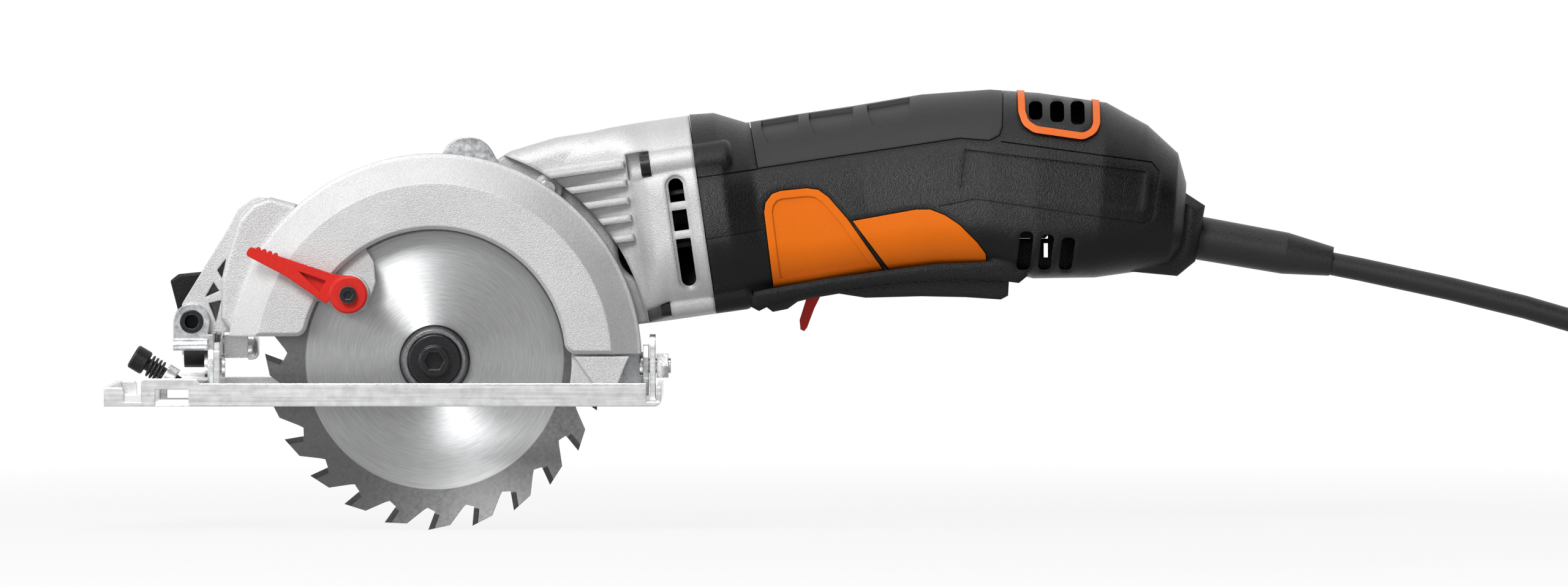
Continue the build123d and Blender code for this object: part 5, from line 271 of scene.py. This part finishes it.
def grained_finish(name, color, grain, contrast, rough, depth, metallic=0.0, radius=0.0006, edge=None,
                   edge_wear_and_sheen=0.5, shine=0.5):
    """Grained skin and soft edges, worn pale on metal and with a painted highlight on plastic and rubber."""
    material, tree, sockets = plain_finish(name, metallic)
    sockets["Specular IOR Level"].default_value = shine
    skin = place_group(tree, grained_skin, {"Color": color, "Grain": grain, "Contrast": contrast,
                                            "Rough": rough, "Spread": GLOSS_SPREAD})
    edges = place_group(tree, rounded_edges, {"Radius": radius})
    # paler edges: bare wear on metal, a painted edge highlight on plastic and rubber
    paler_share = reckon(tree, "MULTIPLY", edges["Edge"], edge_wear_and_sheen)
    tone = blend_colors(tree, paler_share, skin["Color"], edge or color)
    close_finish(tree, sockets, tone, skin["Roughness"], skin["Height"], edges["Normal"], depth)
    return material


def dress(material, *names):
    """Give CAD nodes a material in place of the plain one."""
    for name in names:
        slots = nodes[name].data.materials
        slots.clear()
        slots.append(material)


cast_alloy = grained_finish("cast_alloy", CAST_ALLOY, **CAST_SKIN, radius=0.0008,
                            edge=(0.75, 0.75, 0.75, 1), edge_wear_and_sheen=0.4)
dress(cast_alloy, "upper_guard", "gear_cover", "lower_guard")

soft_cast_alloy = grained_finish("soft_cast_alloy", CAST_ALLOY, **CAST_SKIN, radius=0.002,
                                 edge=(0.7, 0.7, 0.7, 1), edge_wear_and_sheen=0.2)
dress(soft_cast_alloy, "gear_housing")


# Saw blade: a steel disc, ground in rings in the middle and left grey and rough towards the teeth.
# The tips are pressed carbide, brazed into seats on the tooth faces.
BLADE_CENTRE = (0, 0, 0.0148)
GROUND_RADIUS = 0.0437
GROUND_EDGE = 0.0002
BLADE_GROUND = (0.6, 0.605, 0.61)
GRINDING_STRETCH = (2400.0, 4.0, 4.0)
GRINDING_TONE = (0.8, 1.1)
GRINDING_GLOSS = (0.38, 0.48)
BLADE_RIM = (0.25, 0.25, 0.25, 1)

# place on the blade: how far a point is from the centre, and the direction in which it lies
blade_place, given, result = shader_group("blade_place", [], [("Reach", "Float"), ("Heading", "Vector")])
tree = blade_place
spot = put(tree, "TexCoord").outputs["Object"]
centred = put(tree, "VectorMath", {0: spot, 1: BLADE_CENTRE}, operation="SUBTRACT").outputs[0]
flat = put(tree, "VectorMath", {0: centred, 1: (1, 0, 1)}, operation="MULTIPLY").outputs[0]
reach = put(tree, "VectorMath", {0: flat}, operation="LENGTH").outputs["Value"]
heading = put(tree, "VectorMath", {0: flat}, operation="NORMALIZE").outputs[0]
tree.links.new(reach, result["Reach"])
tree.links.new(heading, result["Heading"])

# tool lines: noise drawn out into the fine lines that a stone or a brush leaves
tool_lines, given, result = shader_group(
    "tool_lines", [("Place", "Vector"), ("Stretch", "Vector"), ("Break", "Float")], [("Height", "Float")]
)
tree = tool_lines
drawn = put(tree, "VectorMath", {0: given["Place"], 1: given["Stretch"]}, operation="MULTIPLY").outputs[0]
lines = put(tree, "TexNoise", {"Vector": drawn, "Scale": 1.0, "Detail": 3.0, "Roughness": given["Break"]})
tree.links.new(lines.outputs[0], result["Height"])

blade_steel, tree, sockets = plain_finish("blade_steel", metallic=1.0)
place = place_group(tree, blade_place, {})
heading = put(tree, "SeparateXYZ", {0: place["Heading"]}).outputs
rings = put(tree, "CombineXYZ", {"X": place["Reach"], "Y": heading["X"], "Z": heading["Z"]}).outputs[0]
lines = place_group(tree, tool_lines, {"Place": rings, "Stretch": GRINDING_STRETCH, "Break": 0.7})["Height"]
rim = remap(tree, place["Reach"], (GROUND_RADIUS - GROUND_EDGE, GROUND_RADIUS + GROUND_EDGE))
ground = scale_color(tree, BLADE_GROUND, remap(tree, lines, NOISE_SPAN, onto=GRINDING_TONE))
stains = place_group(tree, grained_skin, {"Color": BLADE_RIM, "Grain": 900.0, "Contrast": 0.5, "Rough": 0.48,
                                          "Spread": 0.2})
tone = blend_colors(tree, rim, ground, stains["Color"])
smooth = remap(tree, lines, (0.0, 1.0), onto=GRINDING_GLOSS)
gloss = put(tree, "Mix", {0: rim, 2: smooth, 3: stains["Roughness"]}).outputs[0]
edges = place_group(tree, rounded_edges, {"Radius": 0.0003})
close_finish(tree, sockets, tone, gloss, lines, edges["Normal"], depth=0.00002, strength=0.35)
sockets["Anisotropic"].default_value = 0.9
sockets["Anisotropic Rotation"].default_value = 0.25
grinding = put(tree, "Tangent", direction_type="RADIAL", axis="Y")
tree.links.new(grinding.outputs[0], sockets["Tangent"])
dress(blade_steel, "saw_blade")

carbide = grained_finish("carbide", (0.06, 0.06, 0.064, 1), grain=1500.0, contrast=0.5, rough=0.5,
                         depth=0.00004, metallic=0.5, radius=0.0002, edge=(0.2, 0.2, 0.2, 1))
dress(carbide, "carbide_tips")


# Blade clamp and dark fasteners: turned steel flanges, the bolt and the cap screws, all blackened in oil.
# Edges that tools and the blade rub are bare again.
OILED_STEEL = (0.03, 0.03, 0.032, 1)
OILED_GRAIN = 1800.0
OILED_CONTRAST = 0.5
OILED_ROUGH = 0.34
OILED_DEPTH = 0.00003
OILED_METALLIC = 0.8
OILED_RADIUS = 0.0004
OILED_WEAR = 0.7

dark_steel = grained_finish("dark_steel", OILED_STEEL, grain=OILED_GRAIN, contrast=OILED_CONTRAST,
                            rough=OILED_ROUGH, depth=OILED_DEPTH, metallic=OILED_METALLIC,
                            radius=OILED_RADIUS, edge=(0.25, 0.25, 0.26, 1), edge_wear_and_sheen=OILED_WEAR)
dress(dark_steel, "inner_flange", "blade_bolt", "gear_housing_screws", "housing_screws", "clamp_screw",
      "clamp_spring", "guard_lever_screw", "hinge_pin")

# the outer flange is rubbed bare in a ring by spanners and dust
BARE_RING = (0.0086, 0.0112)
BARE_EDGE = 0.0005
BARE_SHARE = (0.55, 1.0)
BARE_STEEL = (0.3, 0.3, 0.31, 1)

flange_steel, tree, sockets = plain_finish("flange_steel", metallic=OILED_METALLIC)
reach = place_group(tree, blade_place, {})["Reach"]
inner = remap(tree, reach, (BARE_RING[0] - BARE_EDGE, BARE_RING[0] + BARE_EDGE))
outer = remap(tree, reach, (BARE_RING[1] + BARE_EDGE, BARE_RING[1] - BARE_EDGE))
skin = place_group(tree, grained_skin, {"Color": OILED_STEEL, "Grain": OILED_GRAIN,
                                        "Contrast": OILED_CONTRAST, "Rough": OILED_ROUGH,
                                        "Spread": GLOSS_SPREAD})
rubbed = remap(tree, skin["Height"], (0.0, 1.0), onto=BARE_SHARE)
bare = reckon(tree, "MULTIPLY", reckon(tree, "MULTIPLY", inner, outer), rubbed)
edges = place_group(tree, rounded_edges, {"Radius": OILED_RADIUS})
paler_share = reckon(tree, "MAXIMUM", reckon(tree, "MULTIPLY", edges["Edge"], OILED_WEAR), bare)
tone = blend_colors(tree, paler_share, skin["Color"], BARE_STEEL)
close_finish(tree, sockets, tone, skin["Roughness"], skin["Height"], edges["Normal"], OILED_DEPTH)
dress(flange_steel, "outer_flange")


# Base and brackets: pressed sheet steel. The sole and its quadrant are plated and brushed along their length,
# and the hinge bracket and the depth quadrant are zinc plated and mottled. The pivots and bolts that join
# them are bright steel, and so are the guard's spring and the bearings.
PLATED = (0.88, 0.88, 0.88, 1)
BRUSHED_STRETCH = (22.0, 1100.0, 1100.0)
BRUSHED_SPAN = (0.35, 0.65)
BRUSHED_TONE = (0.82, 1.06)
ZINC = (0.5, 0.51, 0.52, 1)

plated_steel, tree, sockets = plain_finish("plated_steel", metallic=1.0)
spot = put(tree, "TexCoord").outputs["Object"]
lines = place_group(tree, tool_lines, {"Place": spot, "Stretch": BRUSHED_STRETCH, "Break": 0.6})["Height"]
skin = place_group(tree, grained_skin, {"Color": PLATED, "Grain": 260.0, "Contrast": 0.12, "Rough": 0.3,
                                        "Spread": 0.12})
tone = scale_color(tree, skin["Color"], remap(tree, lines, BRUSHED_SPAN, onto=BRUSHED_TONE))
edges = place_group(tree, rounded_edges, {"Radius": 0.0007})
close_finish(tree, sockets, tone, skin["Roughness"], lines, edges["Normal"], depth=0.00003, strength=0.25)
dress(plated_steel, "base_plate", "bevel_quadrant")

zinc = grained_finish("galvanised_steel", ZINC, grain=420.0, contrast=0.55, rough=0.34, depth=0.00006,
                      metallic=1.0, radius=0.0007, edge=(0.75, 0.75, 0.76, 1))
dress(zinc, "hinge_bracket", "depth_quadrant", "guard_retainer")

bright_steel = grained_finish("bright_steel", (0.62, 0.62, 0.63, 1), grain=900.0, contrast=0.3, rough=0.26,
                              depth=0.00003, metallic=1.0, radius=0.0004, edge=(0.8, 0.8, 0.8, 1))
dress(bright_steel, "bevel_bolt", "bevel_pivots", "rear_pivot_nut", "depth_bolt", "countersunk_screws",
      "guard_spring", "drive_bearings", "spindle_bearings")


# Gear train and motor: hardened shafts and gears, stacked iron sheets, copper windings and carbon brushes.
# They sit inside the castings and the handle.
gear_steel = grained_finish("gear_steel", (0.36, 0.36, 0.37, 1), grain=1200.0, contrast=0.3, rough=0.3,
                            depth=0.00003, metallic=1.0, radius=0.0002, edge=(0.6, 0.6, 0.6, 1))
dress(gear_steel, "spindle", "spindle_gear", "idler_gear", "idler_pin", "countershaft", "bevel_gear",
      "armature_shaft")

laminations = grained_finish("laminations", (0.2, 0.2, 0.21, 1), grain=800.0, contrast=0.4, rough=0.5,
                             depth=0.00005, metallic=0.8)
dress(laminations, "armature_core", "stator_core")

copper = grained_finish("copper", (0.6, 0.26, 0.12, 1), grain=1500.0, contrast=0.4, rough=0.36, depth=0.00005,
                        metallic=0.9)
dress(copper, "commutator", "field_coils")

carbon = grained_finish("carbon", (0.02, 0.02, 0.02, 1), grain=1500.0, contrast=0.5, rough=0.6, depth=0.00005)
dress(carbon, "carbon_brushes")


# Red levers: the guard's lifting lever and the lock-off tongue are smooth red nylon mouldings.
# The first is screwed to the lower guard, and the second turns on its own pin in a slot of the paddle.
RED = (0.66, 0.018, 0.011, 1)

# the paler red on the edges is a painted edge highlight
red_plastic = grained_finish("red_plastic", RED, grain=900.0, contrast=0.08, rough=0.36, depth=0.00002,
                             edge=(0.68, 0.04, 0.03, 1), shine=0.3)
dress(red_plastic, "guard_lever", "lock_off_lever")


# Handle: two half shells of black nylon with a fine spark-eroded grain, screwed together along the middle.
# The clamp levers, the fan and the plug are black nylon too, the paddle has a gloss, and the grips and the
# side pads are soft rubber set into the shells.
BLACK = (0.004, 0.0039, 0.004, 1)
HANDLE_WIDEST = 0.046

# crowned side: the normal of a side that swells a little about the handle's widest height
crowned_side, given, result = shader_group(
    "crowned_side", [("Normal", "Vector"), ("Swell", "Float")], [("Normal", "Vector")]
)
tree = crowned_side
spot = put(tree, "TexCoord").outputs["Object"]
lift = reckon(tree, "SUBTRACT", put(tree, "SeparateXYZ", {0: spot}).outputs["Z"], HANDLE_WIDEST)
tilt = put(tree, "CombineXYZ", {"Z": reckon(tree, "MULTIPLY", lift, given["Swell"])}).outputs[0]
tilted = put(tree, "VectorMath", {0: given["Normal"], 1: tilt}, operation="ADD").outputs[0]
even = put(tree, "VectorMath", {0: tilted}, operation="NORMALIZE").outputs[0]
tree.links.new(even, result["Normal"])


def crown_sides(material, swell):
    """Swell a moulding's flat sides, by a tilt of the normal under its relief."""
    tree = material.node_tree
    base = tree.nodes["Bump"].inputs["Normal"]
    crowned = place_group(tree, crowned_side, {"Normal": base.links[0].from_socket, "Swell": swell})
    tree.links.new(crowned["Normal"], base)


# the grey on the shell's edges is a painted edge highlight
shell_black = grained_finish("shell_black", BLACK, grain=2100.0, contrast=0.6, rough=0.31, depth=0.00011,
                             radius=0.003, edge=(0.03, 0.03, 0.03, 1), shine=0.3)
crown_sides(shell_black, swell=12.0)
dress(shell_black, "motor_housing_near", "motor_housing_far")

# the grey on these mouldings' edges is a painted edge highlight
black_plastic = grained_finish("black_plastic", BLACK, grain=2100.0, contrast=0.6, rough=0.4, depth=0.00008,
                               radius=0.0008, edge=(0.04, 0.04, 0.04, 1), edge_wear_and_sheen=0.6, shine=0.25)
dress(black_plastic, "bevel_lever", "depth_lever", "brush_holders", "switch_body", "cord_clamp", "plug",
      "cooling_fan", "spindle_lock_button")

# the grey on the paddle's edges is a painted edge highlight
gloss_black = grained_finish("gloss_black", (0.006, 0.006, 0.006, 1), grain=1100.0, contrast=0.7, rough=0.22,
                             depth=0.00012, radius=0.0008, edge=(0.03, 0.03, 0.03, 1), shine=0.4)
dress(gloss_black, "paddle_switch")

# the grey on the grips' edges is a painted edge highlight
grip_rubber = grained_finish("grip_rubber", (0.026, 0.026, 0.027, 1), grain=3000.0, contrast=0.4, rough=0.45,
                             depth=0.00005, radius=0.0012, edge=(0.05, 0.05, 0.05, 1), shine=0.25)
crown_sides(grip_rubber, swell=7.0)
dress(grip_rubber, "grip_covers")

# the paler orange on the pads' edges is a painted edge highlight
orange_rubber = grained_finish("orange_rubber", (0.82, 0.165, 0.004, 1), grain=2600.0, contrast=0.1,
                               rough=0.5, depth=0.00003, radius=0.0008, edge=(0.86, 0.25, 0.02, 1),
                               edge_wear_and_sheen=0.3, shine=0.15)
crown_sides(orange_rubber, swell=6.0)
dress(orange_rubber, "side_pads")

# the paler orange on the trim's edges is a painted edge highlight
orange_plastic = grained_finish("orange_plastic", (0.84, 0.16, 0.02, 1), grain=1800.0, contrast=0.1,
                                rough=0.42, depth=0.00003, radius=0.0005, edge=(0.9, 0.24, 0.05, 1),
                                edge_wear_and_sheen=0.3, shine=0.3)
dress(orange_plastic, "vent_trim")


# Paddle spring: a compression spring of hard-drawn wire that stands between the handle's roof and the paddle.
# It shortens towards its upper end as the paddle is pressed.
SPRING_FOOT = Vector((0.179, 0.03, 0.0385))
SPRING_RISE = 0.0157
SPRING_RADIUS = 0.004
SPRING_WIRE = 0.0005
SPRING_TURNS = 5
STEPS_PER_TURN = 20
WIRE_SIDES = 8

wire = bmesh.new()
ring = bmesh.ops.create_circle(wire, segments=WIRE_SIDES, radius=SPRING_WIRE)["verts"]
bmesh.ops.rotate(wire, verts=ring, matrix=Matrix.Rotation(pi / 2, 3, "X"))
bmesh.ops.translate(wire, verts=ring, vec=SPRING_FOOT + Vector((SPRING_RADIUS, 0, 0)))
steps = SPRING_TURNS * STEPS_PER_TURN
bmesh.ops.spin(wire, geom=wire.verts[:] + wire.edges[:], cent=SPRING_FOOT, axis=(0, 0, 1),
               angle=2 * pi * SPRING_TURNS, dvec=(0, 0, SPRING_RISE / steps), steps=steps)
bmesh.ops.holes_fill(wire, edges=wire.edges)
bmesh.ops.recalc_face_normals(wire, faces=wire.faces)
for face in wire.faces:
    face.smooth = True
spring = add_mesh("pressed_spring", wire)
spring.data.materials.append(bright_steel)
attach(spring, "saw_body")
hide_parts("paddle_spring")
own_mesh(spring)


# Cord: an 8 mm rubber lead that leaves the handle through a tapered sleeve, falls to the floor and is coiled
# for storage in four layers, with a strap round the coil and a flat two-pin plug lying on top.
CORD_RADIUS = 0.004
CORD_ROUTE = [
    (0.2358646, 0.03, 0.0599676),
    (0.3501023, 0.03, 0.0398244),
    (0.430, 0.028, 0.0134),
    (0.482, 0.010, -0.018),
    (0.530, -0.022, -0.0387),
    (0.584, -0.022, -0.0387),
]
COIL_INNER = 0.0406
COIL_PITCH = 0.0087
COIL_HALF_TURNS = 3
COIL_CLEAR = 0.0035
COIL_OUTER = COIL_INNER + (COIL_HALF_TURNS + 1) * COIL_PITCH / 2
COIL_LAYERS = (-1, 1, -1, 1)
COIL_LAST = (0.05, 0.0123)
COIL_TAIL = 2 * CORD_RADIUS
POINTS_PER_HALF_TURN = 10

# the coil's radius and height at the end of each half turn
cord_end = Vector(CORD_ROUTE[-1])
along = (cord_end - Vector(CORD_ROUTE[-2])).normalized()
outward = Vector((along.y, -along.x, 0))
coil_centre = cord_end + along * COIL_TAIL - outward * COIL_OUTER
turns = [(COIL_OUTER, 0.0)]
for layer, way in enumerate(COIL_LAYERS):
    first = turns[-1][0] + way * (COIL_CLEAR if layer else 0.0)
    last_layer = layer == len(COIL_LAYERS) - 1
    for k in range(1, COIL_HALF_TURNS + (0 if last_layer else 2)):
        level = layer + 1 if k > COIL_HALF_TURNS else layer
        turns.append((first + way * COIL_PITCH * k / 2, level * COIL_PITCH))
turns.append((COIL_LAST[0], turns[-1][1] + COIL_LAST[1]))

# the route's points and then the coil's, a little outside the turns that they round
swell = 1 / cos(pi / POINTS_PER_HALF_TURN / 2)
cord_points = [Vector(p) for p in CORD_ROUTE]
for k, ((near, low), (far, high)) in enumerate(zip(turns, turns[1:])):
    for j in range(POINTS_PER_HALF_TURN):
        step = (j + 0.5) / POINTS_PER_HALF_TURN
        angle = pi * (k + step)
        radius = (near + (far - near) * step) * swell
        rise = low + (high - low) * (1 - cos(pi * step)) / 2
        spoke = outward * cos(angle) + along * sin(angle)
        cord_points.append(coil_centre + spoke * radius + Vector((0, 0, rise)))
last_side = (-1) ** (len(turns) - 1)
last_turn = coil_centre + outward * last_side * COIL_LAST[0] + Vector((0, 0, turns[-1][1]))
cord_points += [last_turn, last_turn + along * last_side * COIL_TAIL]

lead_data = bpy.data.curves.new("power_lead", "CURVE")
lead_data.dimensions = "3D"
lead_data.bevel_depth = CORD_RADIUS
lead_data.bevel_resolution = 5
lead_data.resolution_u = 5
lead_data.use_fill_caps = True
line = lead_data.splines.new("NURBS")
line.points.add(len(cord_points) - 1)
for point, place in zip(line.points, cord_points):
    point.co = (*place, 1)
line.order_u = 3
line.use_endpoint_u = True
lead = add_object("power_lead", lead_data)

# the grey on the cord's and sleeve's edges is a painted edge highlight
cord_rubber = grained_finish("cord_rubber", (0.016, 0.016, 0.016, 1), grain=1500.0, contrast=0.3, rough=0.42,
                             depth=0.00003, radius=0.0005, edge=(0.03, 0.03, 0.03, 1))
lead_data.materials.append(cord_rubber)
dress(cord_rubber, "cord_sleeve")
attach(lead, "saw_body")
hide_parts("power_cord", "cord_coil")


# Strap: a moulded rubber band, stretched round the coil on the side towards the saw.
# It holds the four layers together and stays on the cord.
STRAP_WIDTH = 0.006
STRAP_THICK = 0.001
STRAP_CORNER = 0.007
STRAP_SEGMENTS = 6

at_strap = [
    ((near + far) / 2, (low + high) / 2)
    for (near, low), (far, high) in zip(turns[1::2], turns[2::2])
]
strap_inner = min(radius for radius, height in at_strap) - CORD_RADIUS
strap_outer = max(radius for radius, height in at_strap) + CORD_RADIUS
strap_top = max(height for radius, height in at_strap) + CORD_RADIUS
strap_low = STRAP_THICK - CORD_RADIUS

band = bmesh.new()
for grow in (0, STRAP_THICK):
    corners = bmesh.ops.create_grid(band, x_segments=1, y_segments=1, size=0.5)["verts"]
    spread = (strap_outer - strap_inner + 2 * grow, strap_top - strap_low + 2 * grow, 1)
    bmesh.ops.scale(band, verts=corners, vec=spread)
    bmesh.ops.bevel(band, geom=corners, offset=STRAP_CORNER + grow, segments=STRAP_SEGMENTS, profile=0.5,
                    affect="VERTICES", material=-1)
bmesh.ops.delete(band, geom=band.faces[:], context="FACES_ONLY")
bmesh.ops.bridge_loops(band, edges=band.edges[:])
raised = bmesh.ops.extrude_face_region(band, geom=band.faces[:])["geom"]
raised = [part for part in raised if isinstance(part, bmesh.types.BMVert)]
bmesh.ops.translate(band, verts=raised, vec=(0, 0, STRAP_WIDTH))
up = Vector((0, 0, 1))
seat = Matrix((-along, up, -outward)).transposed().to_4x4()
seat.translation = (coil_centre - along * (strap_inner + strap_outer) / 2 + up * (strap_low + strap_top) / 2
                    + outward * STRAP_WIDTH / 2)
bmesh.ops.transform(band, verts=band.verts, matrix=seat)
bmesh.ops.recalc_face_normals(band, faces=band.faces)
strap = add_mesh("cord_strap", band)
strap.data.materials.append(cord_rubber)
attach(strap, "saw_body")
